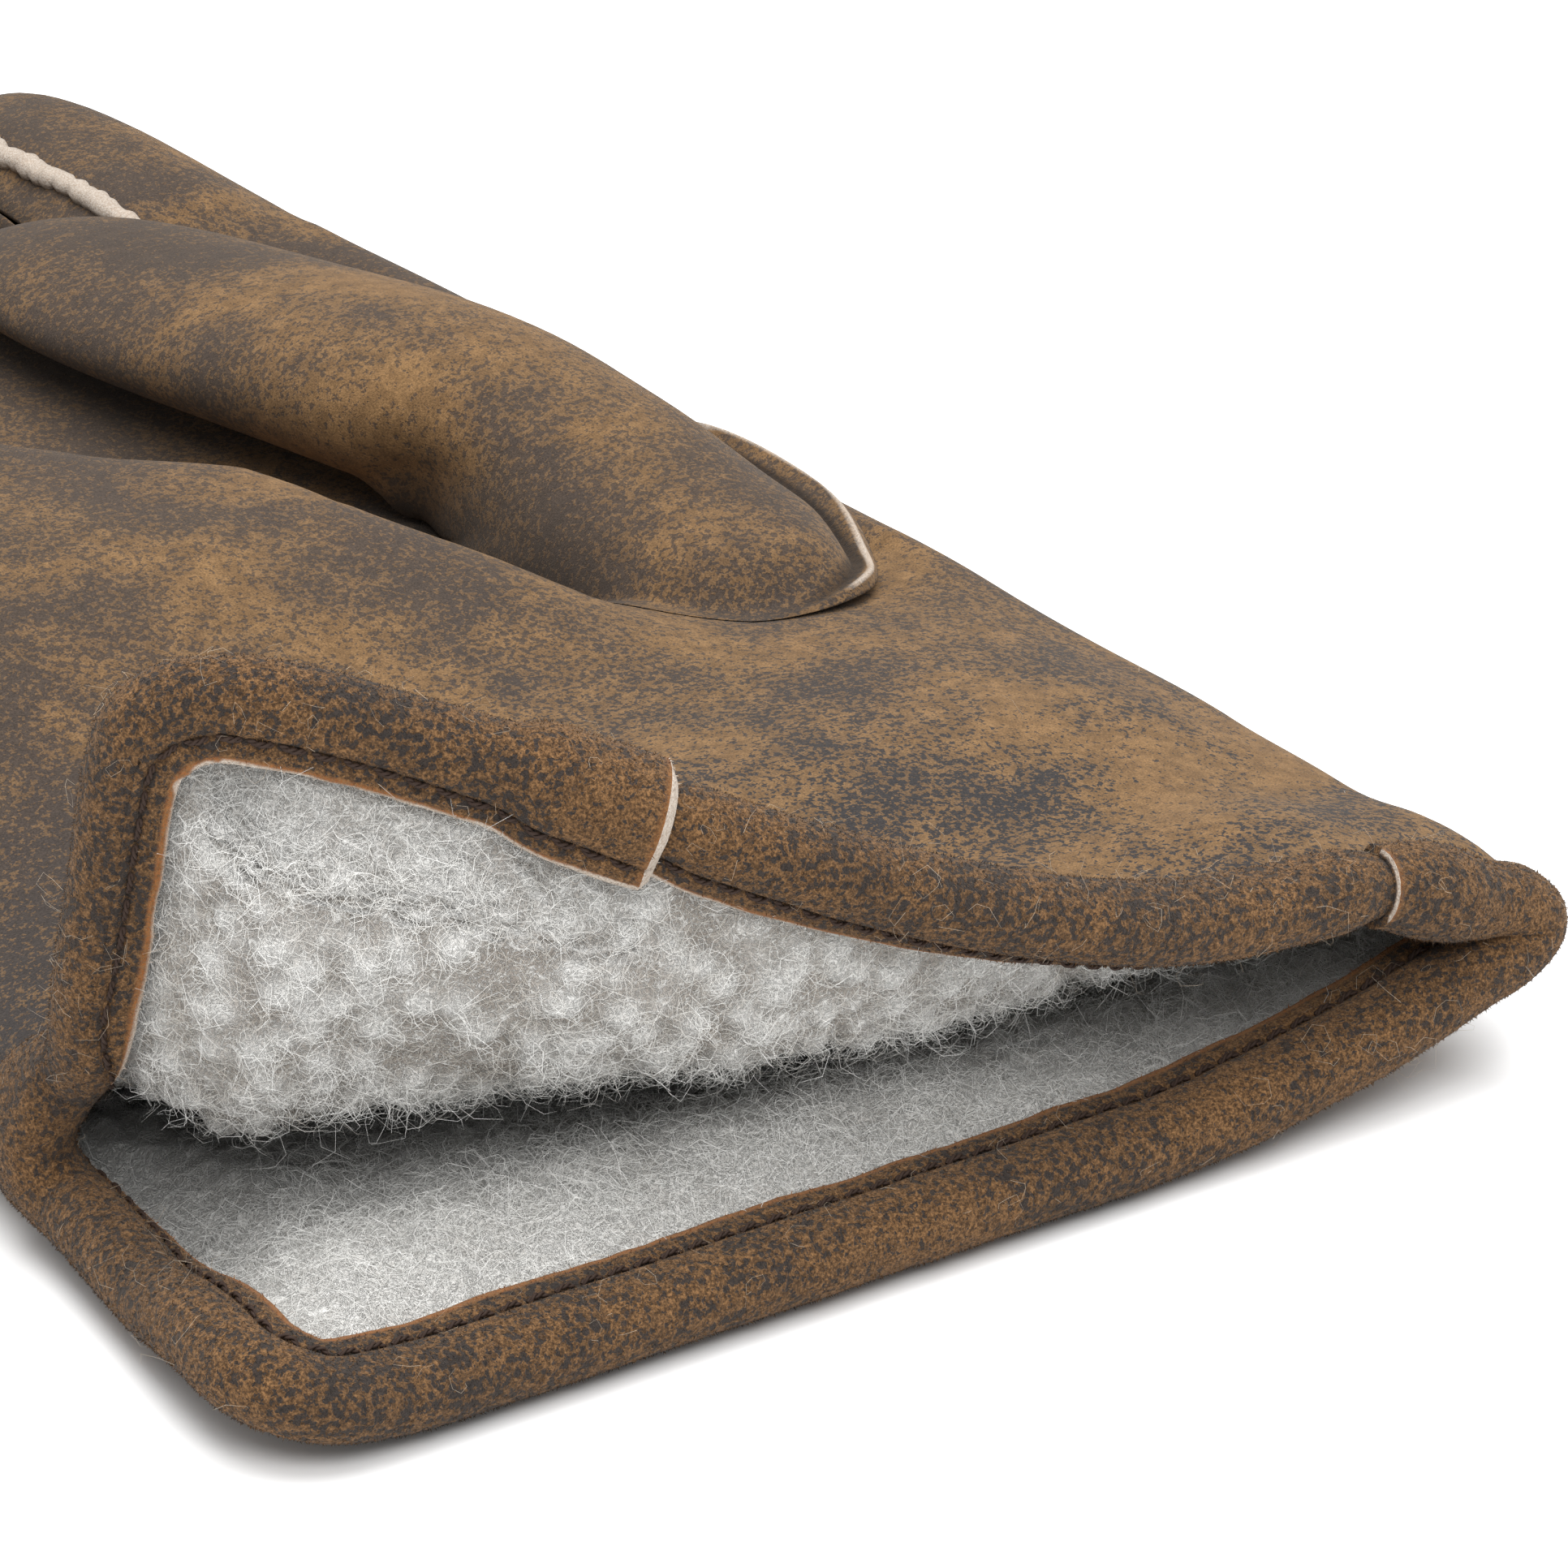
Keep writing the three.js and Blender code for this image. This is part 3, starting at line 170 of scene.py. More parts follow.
# %% Material helper
class Recipe:
    """A material under construction: each call adds one node and returns its output."""

    def __init__(self, name):
        self.material = bpy.data.materials.new(name)
        self.material.use_nodes = True
        self.nodes = self.material.node_tree.nodes
        self.links = self.material.node_tree.links
        self.nodes.clear()
        self.coords = self.add("ShaderNodeTexCoord").outputs["Object"]

    def add(self, kind, **settings):
        node = self.nodes.new(kind)
        for key, value in settings.items():
            setattr(node, key, value)
        return node

    def put(self, socket, value):
        if isinstance(value, bpy.types.NodeSocket):
            self.links.new(value, socket)
        elif isinstance(value, tuple) and len(value) == 3 and socket.type == "RGBA":
            socket.default_value = (*value, 1)
        else:
            socket.default_value = value

    def noise(self, size, detail=2.0, roughness=0.5, distortion=0.0):
        """Noise whose features are about `size` millimetres."""
        node = self.add("ShaderNodeTexNoise")
        self.put(node.inputs["Vector"], self.coords)
        self.put(node.inputs["Scale"], 1 / (size * MM))
        self.put(node.inputs["Detail"], detail)
        self.put(node.inputs["Roughness"], roughness)
        self.put(node.inputs["Distortion"], distortion)
        return node.outputs["Fac"]

    def cells(self, size):
        """The distance to the nearest of points that lie about `size` millimetres apart."""
        node = self.add("ShaderNodeTexVoronoi")
        self.put(node.inputs["Vector"], self.coords)
        self.put(node.inputs["Scale"], 1 / (size * MM))
        return node.outputs["Distance"]

    def place(self, axis):
        """One coordinate of the place on the object, in metres."""
        node = self.add("ShaderNodeSeparateXYZ")
        self.put(node.inputs[0], self.coords)
        return node.outputs[axis]

    def attribute(self, name):
        """One of the numbers that are painted on the mesh's points further down."""
        return self.add("ShaderNodeAttribute", attribute_name=name).outputs["Fac"]

    def math(self, operation, a, b=0.0, c=0.0):
        node = self.add("ShaderNodeMath", operation=operation)
        for socket, value in zip(node.inputs, (a, b, c)):
            self.put(socket, value)
        return node.outputs[0]

    def step(self, value, low, high, to_low=0.0, to_high=1.0):
        """A smooth rise from low to high."""
        node = self.add("ShaderNodeMapRange", interpolation_type="SMOOTHSTEP")
        for socket, number in zip(node.inputs, (value, low, high, to_low, to_high)):
            self.put(socket, number)
        return node.outputs[0]

    def blend(self, share, a, b, kind="MIX"):
        """From colour a to colour b; the Mix node keeps its colours in sockets 6, 7 and out 2."""
        node = self.add("ShaderNodeMix", data_type="RGBA", blend_type=kind)
        self.put(node.inputs[0], share)
        self.put(node.inputs[6], a)
        self.put(node.inputs[7], b)
        return node.outputs[2]

    def grey(self, value):
        node = self.add("ShaderNodeCombineColor")
        for socket in node.inputs:
            self.put(socket, value)
        return node.outputs[0]

    def bump(self, height, depth, under=None):
        """Bump whose height runs over `depth` millimetres."""
        node = self.add("ShaderNodeBump")
        self.put(node.inputs["Height"], height)
        self.put(node.inputs["Distance"], depth * MM)
        if under is not None:
            self.put(node.inputs["Normal"], under)
        return node.outputs["Normal"]

    def finish(self, colour, normal=None, **sockets):
        shader = self.add("ShaderNodeBsdfPrincipled")
        self.put(shader.inputs["Base Color"], colour)
        if normal is not None:
            self.put(shader.inputs["Normal"], normal)
        for key, value in sockets.items():
            self.put(shader.inputs[key.replace("_", " ")], value)
        out = self.add("ShaderNodeOutputMaterial")
        self.links.new(shader.outputs["BSDF"], out.inputs["Surface"])
        return self.material


FLOOR_WHITE = (0.95, 0.95, 0.95)
floor_mesh.materials.append(Recipe("pale_floor").finish(FLOOR_WHITE, Roughness=0.7))
print("floor finish:", floor_mesh.materials[0].name)

# %% [markdown]
# ## Leather
# Napped leather is dyed, then rubbed, so a lighter tan shows through a slate-dark finish.
# Up close the finish is a scatter of specks half a millimetre across; from further off the
# specks gather into clouds. Two noises make this: a fine one that is cut off sharply for the
# specks, and a broad one that moves the cut and so makes the clouds. A pattern of cells adds
# round dots where the finish is thickest. The cut edges of the skin stay undyed and pale,
# with a rim of bare orange-brown suede beside them.
# Painted shade darkens it in its seams and creases and under the thumb, and two painted ramps make it greyer
# towards the fingers and darker on the side away from the thumb.

# %% Leather
TAN = (0.128, 0.073, 0.032)
LIGHT_TAN = (0.190, 0.109, 0.047)
UMBER = (0.066, 0.045, 0.031)
SLATE = (0.020, 0.022, 0.026)
DARK_SUEDE = (0.056, 0.030, 0.014)
ORANGE_SUEDE = (0.225, 0.118, 0.048)
BROWN_CLOUD = (0.055, 0.036, 0.023)
NEAR_BLACK = (0.024, 0.022, 0.022)
CUT_EDGE = (0.42, 0.335, 0.265)
PALE_EDGE = (0.64, 0.58, 0.51)
BARE_SUEDE = (0.33, 0.115, 0.030)
# The painted shade in seams and creases.
PAINTED_SHADE_BROWN = (0.012, 0.008, 0.006)
FIBRE_SIZE, FINEST_SIZE = 0.17, 0.07
UNEVEN = {"size": 5.5, "depth": 0.3}


def leather(name, colours, sizes, nap, cover, cloudy):
    """colours are those of the dark and light suede, of the clouds and of the specks;
    sizes are those of clouds, mottles and specks; nap is how deep the bump of the fibres
    is; cover is how much dark finish is left on the suede, cloudy how far the clouds
    differ."""
    tan, light, dark, finish = colours
    cloud_size, mottle_size, speck_size = sizes
    r = Recipe(name)
    clouds = r.noise(cloud_size, 4.0, 0.6, 0.3)
    broad = r.noise(cloud_size * 3.3, 2.0, 0.5)
    specks = r.noise(speck_size, 2.0, 0.6)
    small = r.noise(speck_size * 0.45, 1.0, 0.5)
    fibre = r.noise(FIBRE_SIZE, 2.0, 0.65)
    mottle = r.noise(mottle_size, 4.0, 0.65)

    # How much dark finish a place shows. The noises are the finish's own clouds; the two ramps are painted
    # light, a painted sheen that greys it towards the fingers and painted shade on the side away from the
    # thumb.
    finish_and_painted_shade = r.math("MULTIPLY_ADD", r.math("SUBTRACT", broad, 0.5), 0.55, clouds)
    finish_and_painted_shade = r.math("ADD", finish_and_painted_shade, r.step(r.place("Y"), -0.08, 0.04, 0.0, 0.13))
    finish_and_painted_shade = r.math("ADD", finish_and_painted_shade, r.step(r.place("X"), -0.055, 0.02, 0.13, 0.0))

    # The finish breaks up into ragged specks, and round dots gather where it is thickest.
    level = r.math("MULTIPLY_ADD", r.math("SUBTRACT", finish_and_painted_shade, 0.5), 0.7 * cloudy, specks)
    level = r.math("MULTIPLY_ADD", r.math("SUBTRACT", small, 0.5), 0.45, level)
    slate_here = r.step(level, 0.60 - 0.2 * cover, 0.67 - 0.2 * cover)
    ragged = r.math("MULTIPLY_ADD", fibre, 0.16, r.cells(2.0 * speck_size))
    gathered = r.math("MULTIPLY_ADD", small, 0.5, finish_and_painted_shade)
    dots = r.math("MULTIPLY", r.step(ragged, 0.30, 0.40, 1.0, 0.0), r.step(gathered, 0.66, 0.78))
    slate_here = r.math("MAXIMUM", slate_here, dots)

    # Two browns in small mottles, darker in the clouds, with the finish over them.
    base = r.blend(r.step(mottle, 0.36, 0.66), tan, light)
    base = r.blend(r.step(finish_and_painted_shade, 0.44, 0.74, 0.0, 0.6 * cloudy), base, dark)
    fades = r.step(r.place("Y"), -0.09, -0.02, 0.92, 0.62)
    base = r.blend(r.math("MULTIPLY", slate_here, fades), base, finish)
    base = r.blend(1.0, base, r.grey(r.step(fibre, 0.25, 0.75, 0.66, 1.34)), "MULTIPLY")

    # Bare suede along a rim, pale skin where it was cut, and painted shade in seams, creases and under the
    # thumb.
    worn = r.blend(r.step(fibre, 0.3, 0.7), BARE_SUEDE, light)
    base = r.blend(r.step(r.attribute("rim"), 0.25, 0.95, 0.0, 0.8), base, worn)
    pale = r.blend(r.step(fibre, 0.3, 0.75), CUT_EDGE, PALE_EDGE)
    base = r.blend(r.step(r.attribute("raw"), 0.35, 0.75), base, pale)
    base = r.blend(r.step(r.attribute("painted_shade"), 0.0, 1.0, 0.0, 0.9), base, PAINTED_SHADE_BROWN)

    # The bump of the fibres lies on that of the leather's slow unevenness.
    finer = r.math("MULTIPLY", r.noise(FINEST_SIZE, 1.0), 0.3)
    height = r.math("ADD", r.math("MULTIPLY", fibre, 0.5), finer)
    height = r.math("MULTIPLY_ADD", slate_here, -0.2, height)
    normal = r.bump(r.noise(UNEVEN["size"], 3.0, 0.6), UNEVEN["depth"])
    normal = r.bump(height, nap, normal)
    return r.finish(base, normal, Roughness=0.92, Sheen_Weight=0.10, Sheen_Roughness=0.5,
                    Sheen_Tint=(0.85, 0.75, 0.65), Specular_IOR_Level=0.18)


LEATHER = leather("napped_leather", (TAN, LIGHT_TAN, UMBER, SLATE), (15, 1.9, 0.56),
                  nap=0.12, cover=0.22, cloudy=1.0)
BINDING = leather("binding_suede", (DARK_SUEDE, ORANGE_SUEDE, BROWN_CLOUD, NEAR_BLACK),
                  (9, 0.27, 0.60), nap=0.26, cover=0.30, cloudy=0.45)
print("leathers:", LEATHER.name, BINDING.name)

# %% [markdown]
# ## Wool and thread
# Wool is off-white. Down between its curls it is painted darker and a little yellower, partly the skin's
# brown showing through and partly painted shade. The curls are real strands further down; this finish is the
# matted wool under them, with its finest hairs drawn on it. Both get painted shade inside the cuff, where
# the folded panel keeps the light off.

# %% Wool and thread
HAIR = (0.93, 0.925, 0.895)
HAIR_NOISES = (1.7, 1.15, 0.8)
# The painted shade inside the cuff, and how much of it.
CUFF_SHADE_GREY = (0.10, 0.10, 0.096)
INNER_SHADE = 0.5


def wool(name, pale, valley_shade_and_tone, bump_depth):
    """The matted wool; the attribute knob is how high a place stands in the pile, and its low places are
    painted darker, partly as shade and partly as the skin showing through; a second attribute is the painted
    shade inside the cuff. The thin level lines of three noises are its finest hairs."""
    r = Recipe(name)
    fine = r.noise(0.28, 3.0, 0.7, 1.2)
    hairs = 0.0
    for size in HAIR_NOISES:
        beside = r.math("ABSOLUTE", r.math("SUBTRACT", r.noise(size, 1.0, 0.5, 1.6), 0.5))
        hairs = r.math("MAXIMUM", r.step(beside, 0.0, 0.035, 1.0, 0.0), hairs)
    # Painted shade and the skin's brown showing through, down between the tufts.
    shade = r.blend(r.step(r.attribute("knob"), -0.1, 0.9), valley_shade_and_tone, pale)
    colour = r.blend(r.step(fine, 0.3, 0.7, 0.0, 0.35), shade, valley_shade_and_tone)
    colour = r.blend(r.math("MULTIPLY", hairs, 0.75), colour, HAIR)
    # Painted shade inside the cuff, where the folded panel keeps the light off.
    colour = r.blend(r.step(r.attribute("painted_shade"), 0.0, 1.0, 0.0, INNER_SHADE), colour, CUFF_SHADE_GREY)
    height = r.math("MULTIPLY_ADD", hairs, 0.6, fine)
    return r.finish(colour, r.bump(height, bump_depth), Roughness=1.0, Specular_IOR_Level=0.1)


def strand(name, colour, low):
    """A hair or thread; low is its colour down between the tufts, painted shade there, and it also takes the
    painted shade inside the cuff.
    """
    r = Recipe(name)
    tint = r.noise(3.0, 2.0)
    shade = r.blend(r.step(tint, 0.3, 0.7), colour, tuple(v * 0.92 for v in colour))
    # Painted shade down between the tufts and inside the cuff.
    shade = r.blend(r.step(r.attribute("knob"), -0.1, 0.7), low, shade)
    shade = r.blend(r.step(r.attribute("painted_shade"), 0.0, 1.0, 0.0, INNER_SHADE), shade, CUFF_SHADE_GREY)
    return r.finish(shade, Roughness=0.75, Specular_IOR_Level=0.3)


# The second colours are painted shade down between the tufts; the matted wool's is also the tone of its
# darker fibres.
WOOL_MAT = wool("matted_wool", (0.82, 0.815, 0.79), (0.38, 0.34, 0.30), 0.35)
WOOL_STRAND = strand("wool_strand", (0.94, 0.935, 0.905), (0.56, 0.525, 0.47))
FLUFF = strand("leather_fluff", (0.60, 0.53, 0.45), (0.50, 0.41, 0.31))
THREAD = strand("dark_thread", (0.048, 0.026, 0.018), (0.034, 0.019, 0.013))
print("wool finishes:", WOOL_MAT.name, WOOL_STRAND.name)

# %% [markdown]
# ## The glove's skin as a rule
# The leather was laid out in the CAD source as a ring: c runs round the hand from the vent's
# seam over the back, round the thumb-side fold and over the palm, and y runs from the hem to
# the fingers. The same rule is repeated here with numpy, because the seams, stitches and cut
# edges are placed on it. It covers the cuff and the palm up to the fingers' ribs.

# %% Sizes of the skin
LEATHER_THICK, GAP, BINDING_GAP = 1.2, 0.3, 0.45
WOOL_BOUND, WOOL_CREASED, VENT_BOUND = 1.4, 1.0, 0.75
SIDE, PANEL = 9, 104
RING = 4 * SIDE + 2 * PANEL
FOLD = RING / 2
HAND_MIDDLE, VENT_END, SLOT, CORNER = 110, 38, 4.2, 7
BINDING_OUTSIDE, BINDING_INSIDE = 4.5, 4.2
STRIP_ENDS = {"middle": 202.5, "far": 141.5}
OVERLAP, OVERLAP_RAMP = 7, 4
BULGE, EDGE, REST_FLAT, REST_RISE = 2.3, 0.9, 0.7, 0.22
CURL_LOW, CURL_UP, CURL_REACH = 0.3, -0.24, 0.8
FOLD_RISE = {"up": 4.6, "from": 0.32, "fades": 30}
FOLD_PINCH = {"share": 0.36, "from": 0.66, "to": 1, "below": 4, "fades": 30}
HEM_LIFT = {"up": 2.2, "from": 9, "to": 22}
FLAP = {"angle": 80, "near": -0.02, "far": 1.12, "power": 1.5, "drop": 2, "bend": 6.6,
        "lean": 7.6, "high": 34}
SEAM_EASE = {"across": 7, "along": 8}
SECTIONS = {
    "y": [0, 34, 60, 90, 120, 150, 172],
    "near": [-58.7, -55.5, -55, -56, -55, -53, -51],
    "far": [57, 57, 57.4, 55.8, 55.3, 54.3, 53.3],
    "side": [5.9, 9.8, 10, 10, 10, 10, 9.5],
    "crown": [18, 23, 21.2, 26.7, 26, 23.3, 20.3],
    "lean": [0, 0, 0.01, -0.27, -0.29, -0.14, 0],
}
HOLLOW = {
    "y": [58, 80, 96, 109, 118, 135, 152, 172],
    "near": [24.5, 18, 11.5, 2.5, -6.5, -15.5, -20, -22],
    "floor": [11, 11, 10.6, 10.4, 10.6, 11.2, 11.8, 12.2],
    "share": [0, 0.55, 0.97, 1, 1, 1, 0.95, 0.75],
}
HOLLOW_WALLS = {"near": 7, "far": (43, 51)}
print("ring:", RING, "mm round, fold at", FOLD)


# %% The skin
def mix(a, b, t):
    return a + (b - a) * t


def smooth(low, high, x):
    t = np.clip((x - low) / (high - low), 0, 1)
    return t * t * (3 - 2 * t)


def read(table, key, y):
    """A column of a table, read at y along a smooth curve through its rows."""
    ys, vs = np.array(table["y"], float), np.array(table[key], float)
    y = np.clip(y, ys[0], ys[-1])
    i = np.clip(np.searchsorted(ys, y, side="right") - 1, 0, len(ys) - 2)
    order = np.arange(len(ys))
    before, after = np.maximum(order - 1, 0), np.minimum(order + 1, len(ys) - 1)
    slope = (vs[after] - vs[before]) / (ys[after] - ys[before])
    step = ys[i + 1] - ys[i]
    t = (y - ys[i]) / step
    start = (2 * t**3 - 3 * t**2 + 1) * vs[i] + (t**3 - 2 * t**2 + t) * step * slope[i]
    return start + (3 * t**2 - 2 * t**3) * vs[i + 1] + (t**3 - t**2) * step * slope[i + 1]


def fold_up(x, y, z, share, weight):
    """The upper panel folded back, most at the vent and not at all at the far fold; share
    runs from 0 to 1 between them."""
    hinge = (VENT_END - FLAP["drop"]) * (1 - share) ** FLAP["power"]
    open_share = 1 - smooth(FLAP["near"], FLAP["far"], share)
    angle = np.maximum(math.radians(FLAP["angle"]) * open_share, 1e-4)
    bend = FLAP["bend"]
    past = hinge - y
    turned = angle * np.clip(past + bend, 0, 2 * bend) / (2 * bend)
    radius = 2 * bend / angle
    straight = np.maximum(past - bend, 0)
    forward = radius * np.sin(turned) + straight * np.cos(angle)
    rise = radius * (1 - np.cos(turned)) + straight * np.sin(angle)
    lean = FLAP["lean"] * (1 - share) ** FLAP["power"] * (rise / FLAP["high"])
    weight = np.where(past > -bend, weight, 0)
    return mix(x, x + lean, weight), mix(y, hinge + bend - forward, weight), mix(z, z + rise, weight)


def skin(c, y):
    """The outer surface of the leather at places of the flat layout."""
    c, y = np.broadcast_arrays(np.mod(np.asarray(c, float), RING), np.asarray(y, float))
    near_side = (c < SIDE) | (c >= RING - SIDE)
    on_back = (c >= SIDE) & (c < SIDE + PANEL)
    on_palm = (c >= 3 * SIDE + PANEL) & (c < RING - SIDE)
    u_near = np.where(c < SIDE, 0.5 + 0.5 * c / SIDE, 0.5 * (c - RING + SIDE) / SIDE)
    u_far = 1 - (c - SIDE - PANEL) / (2 * SIDE)
    u_panel = np.where(on_palm, 1 - 2 * (c - 3 * SIDE - PANEL) / PANEL, -1 + 2 * (c - SIDE) / PANEL)
    near, far, side, crown, lean = (read(SECTIONS, k, y) for k in ("near", "far", "side", "crown", "lean"))
    middle, half = (near + far) / 2, (far - near) / 2

    def above(f):
        arch = np.maximum(1 - np.abs(f) ** BULGE, 0) ** (1 / BULGE)
        return side + (crown - side) * arch * (1 + lean * f)

    def below(f):
        return REST_RISE * side * (np.maximum(0, np.abs(f) - REST_FLAT) / (EDGE - REST_FLAT)) ** 2

    u_side = np.where(near_side, u_near, u_far)
    sign = np.where(near_side, -1.0, 1.0)
    high, low = above(sign * EDGE), below(EDGE)
    x_side = sign * half * (EDGE + (1 - EDGE) * np.sin(np.pi * u_side))
    z_side = (high + low) / 2 + (high - low) / 2 * np.cos(np.pi * u_side)
    flat = np.where(near_side & (y < VENT_END), smooth(0, CURL_REACH, (VENT_END - y) / VENT_END), 0)
    lower = u_near > 0.5
    arc = np.where(lower, SIDE * (1 - u_near) / 0.5, SIDE * u_near / 0.5)
    slope = np.where(lower, CURL_LOW, CURL_UP)
    x_side = mix(x_side, -half * EDGE - arc / np.hypot(1, slope), flat)
    z_side = mix(z_side, np.where(lower, low, above(-EDGE)) + arc * slope / np.hypot(1, slope), flat)
    u_inner = np.clip(u_panel, -1, 1) * EDGE
    x = np.where(on_palm | on_back, half * u_inner, x_side) + middle
    z = np.where(on_palm, above(u_inner), np.where(on_back, below(u_inner), z_side))
    wall = HOLLOW_WALLS["near"]
    across = smooth(-wall, wall, x - read(HOLLOW, "near", y)) * (1 - smooth(*HOLLOW_WALLS["far"], x))
    ground = read(HOLLOW, "floor", y)
    z = np.where(on_palm & (z > ground), mix(z, ground, across * read(HOLLOW, "share", y)), z)
    near_hem = 1 - smooth(0, FOLD_PINCH["fades"], y)
    pinch = FOLD_PINCH["share"] * smooth(FOLD_PINCH["from"], FOLD_PINCH["to"], x / far) * near_hem
    z = mix(z, (above(EDGE) + low) / 2 - FOLD_PINCH["below"], pinch)
    z = z + FOLD_RISE["up"] * smooth(FOLD_RISE["from"], 1, x / far) * near_hem
    z = z + HEM_LIFT["up"] * (1 - smooth(HEM_LIFT["from"], HEM_LIFT["to"], y))
    share = np.clip((RING - c - SLOT) / (FOLD - SLOT), 0, 1)
    weight = mix(smooth(0, SEAM_EASE["across"], RING - c), 1, smooth(0, SEAM_EASE["along"], VENT_END - y))
    folded = fold_up(x, y, z, share, np.where(c > FOLD, weight, 0))
    return np.stack(folded, -1)


def unit(v):
    return v / np.maximum(np.linalg.norm(v, axis=-1, keepdims=True), 1e-9)


def skin_normal(c, y, step=0.4):
    across = skin(c + step, y) - skin(c - step, y)
    along = skin(c, y + step) - skin(c, y)
    return unit(np.cross(along, across))


def run_along(line):
    """How far along a line each of its points lies, in mm."""
    return np.concatenate([[0], np.cumsum(np.linalg.norm(np.diff(line, axis=0), axis=1))])


def to_frame(points):
    """From the glove's millimetres to the frame's metres."""
    return (np.asarray(points) - [0, HAND_MIDDLE, 0]) * MM


print("hem on the palm, middle:", skin(183, 0).round(1), "and normal", skin_normal(183, 0).round(2))

# %% [markdown]
# ## Smooth copies of the solids
# A CAD node arrives as loose triangles. A copy is merged, its triangles are joined into
# quads, sharp rims are creased and a Subdivision surface rounds the rest. Subdivision pulls a
# surface inside its control points, so the points are first moved out by what they lose: the
# smooth skin then passes through the CAD points and keeps the glove's size.

# %% Smooth copies
MERGED_WITHIN = 0.02
JOINED_FACES, JOINED_SHAPE = math.radians(40), math.radians(70)
CREASE = 0.9


def link(name, mesh, material=None):
    obj = bpy.data.objects.new(name, mesh)
    scene.collection.objects.link(obj)
    if material:
        mesh.materials.clear()
        mesh.materials.append(material)
    return obj


def evaluated(obj, name):
    """The object's mesh with its modifiers applied, as a new mesh."""
    bpy.context.view_layer.update()
    depsgraph = bpy.context.evaluated_depsgraph_get()
    mesh = bpy.data.meshes.new_from_object(obj.evaluated_get(depsgraph))
    mesh.name = name
    return mesh


def coordinates(mesh):
    flat = np.zeros(3 * len(mesh.vertices))
    mesh.vertices.foreach_get("co", flat)
    return flat.reshape(-1, 3)


def paint(mesh, key, values):
    """Keeps one number for each point of the mesh under the name key."""
    layer = mesh.attributes.get(key) or mesh.attributes.new(key, "FLOAT", "POINT")
    layer.data.foreach_set("value", np.asarray(values, np.float32).ravel())


def set_coordinates(mesh, points):
    mesh.vertices.foreach_set("co", np.asarray(points, float).ravel())
    mesh.update()


def face_outwards(mesh):
    """Turns a closed mesh's faces round if they point inwards, and shades it smooth."""
    bm = bmesh.new()
    bm.from_mesh(mesh)
    if bm.calc_volume(signed=True) < 0:
        bmesh.ops.reverse_faces(bm, faces=bm.faces)
    bm.to_mesh(mesh)
    bm.free()
    mesh.shade_smooth()


def quads_of(node, sharp_degrees):
    """A CAD node's mesh with its triangles joined into quads and its sharp rims creased."""
    bm = bmesh.new()
    bm.from_mesh(frame["nodes"][node].data)
    bmesh.ops.remove_doubles(bm, verts=bm.verts, dist=MERGED_WITHIN * MM)
    bmesh.ops.join_triangles(
        bm, faces=bm.faces, angle_face_threshold=JOINED_FACES, angle_shape_threshold=JOINED_SHAPE)
    crease = bm.edges.layers.float.new("crease_edge")
    for edge in bm.edges:
        if len(edge.link_faces) == 2 and edge.calc_face_angle() > math.radians(sharp_degrees):
            edge[crease] = CREASE
    mesh = bpy.data.meshes.new(node + "_quads")
    bm.to_mesh(mesh)
    bm.free()
    return mesh


def smooth_copy(name, node, levels, material, sharp_degrees=48, rounds=3):
    """A subdivided copy of a CAD node whose surface passes through the node's points."""
    mesh = quads_of(node, sharp_degrees)
    obj = link(name, mesh, material)
    modifier = obj.modifiers.new("round", "SUBSURF")
    modifier.levels = modifier.render_levels = 1
    target = coordinates(mesh)
    for _ in range(rounds):
        limit = coordinates(evaluated(obj, "limit"))[: len(target)]
        set_coordinates(mesh, coordinates(mesh) + (target - limit))
    modifier.levels = modifier.render_levels = levels
    before = len(mesh.polygons)
    obj.data = evaluated(obj, name)
    obj.modifiers.clear()
    obj.data.shade_smooth()
    print(f"{name}: {before} -> {len(obj.data.polygons)} faces")
    return obj


def ride(obj, slot, *nodes):
    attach(obj, "root")
    if nodes:
        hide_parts(*nodes)
    return obj


FULLER_FOLD = {"up": 1.0, "x": (44, 53), "z": (5, 11), "starts": (0.5, 6), "ends": (22, 36)}
GUSSETS = ("ring_little", "middle_ring", "index_middle")


def fill_fold(obj):
    """Raises the upper side of the fold behind the binding, where the wool fills it."""
    points = coordinates(obj.data)
    x, y, z = (points / MM + [0, HAND_MIDDLE, 0]).T
    share = smooth(*FULLER_FOLD["x"], x) * smooth(*FULLER_FOLD["z"], z)
    share *= smooth(*FULLER_FOLD["starts"], y) * (1 - smooth(*FULLER_FOLD["ends"], y))
    points[:, 2] += FULLER_FOLD["up"] * MM * share
    set_coordinates(obj.data, points)


hand = smooth_copy("hand_leather", "trank", 2, LEATHER)
fill_fold(hand)
thumb = smooth_copy("thumb_leather", "thumb", 2, LEATHER)
ride(hand, "leather", "trank")
ride(thumb, "leather", "thumb")
for pair in GUSSETS:
    gusset = smooth_copy("gusset_" + pair, "fourchette_" + pair, 2, LEATHER)
    ride(gusset, "leather", "fourchette_" + pair)

# %% [markdown]
# ## The thumb's seam
# The thumb is set into the palm along a loop. On its outer side the seam's cut edge stands up
# as a pale welt, with painted shade in the crease inside it; on the palm's side the edge is pulled
# flat, and the thumb leans over it, with a painted shadow under it on the thumb and on the palm.
# The points near the loop are moved and painted by their distance from two lines: the welt's crest and the
# crease beside it.

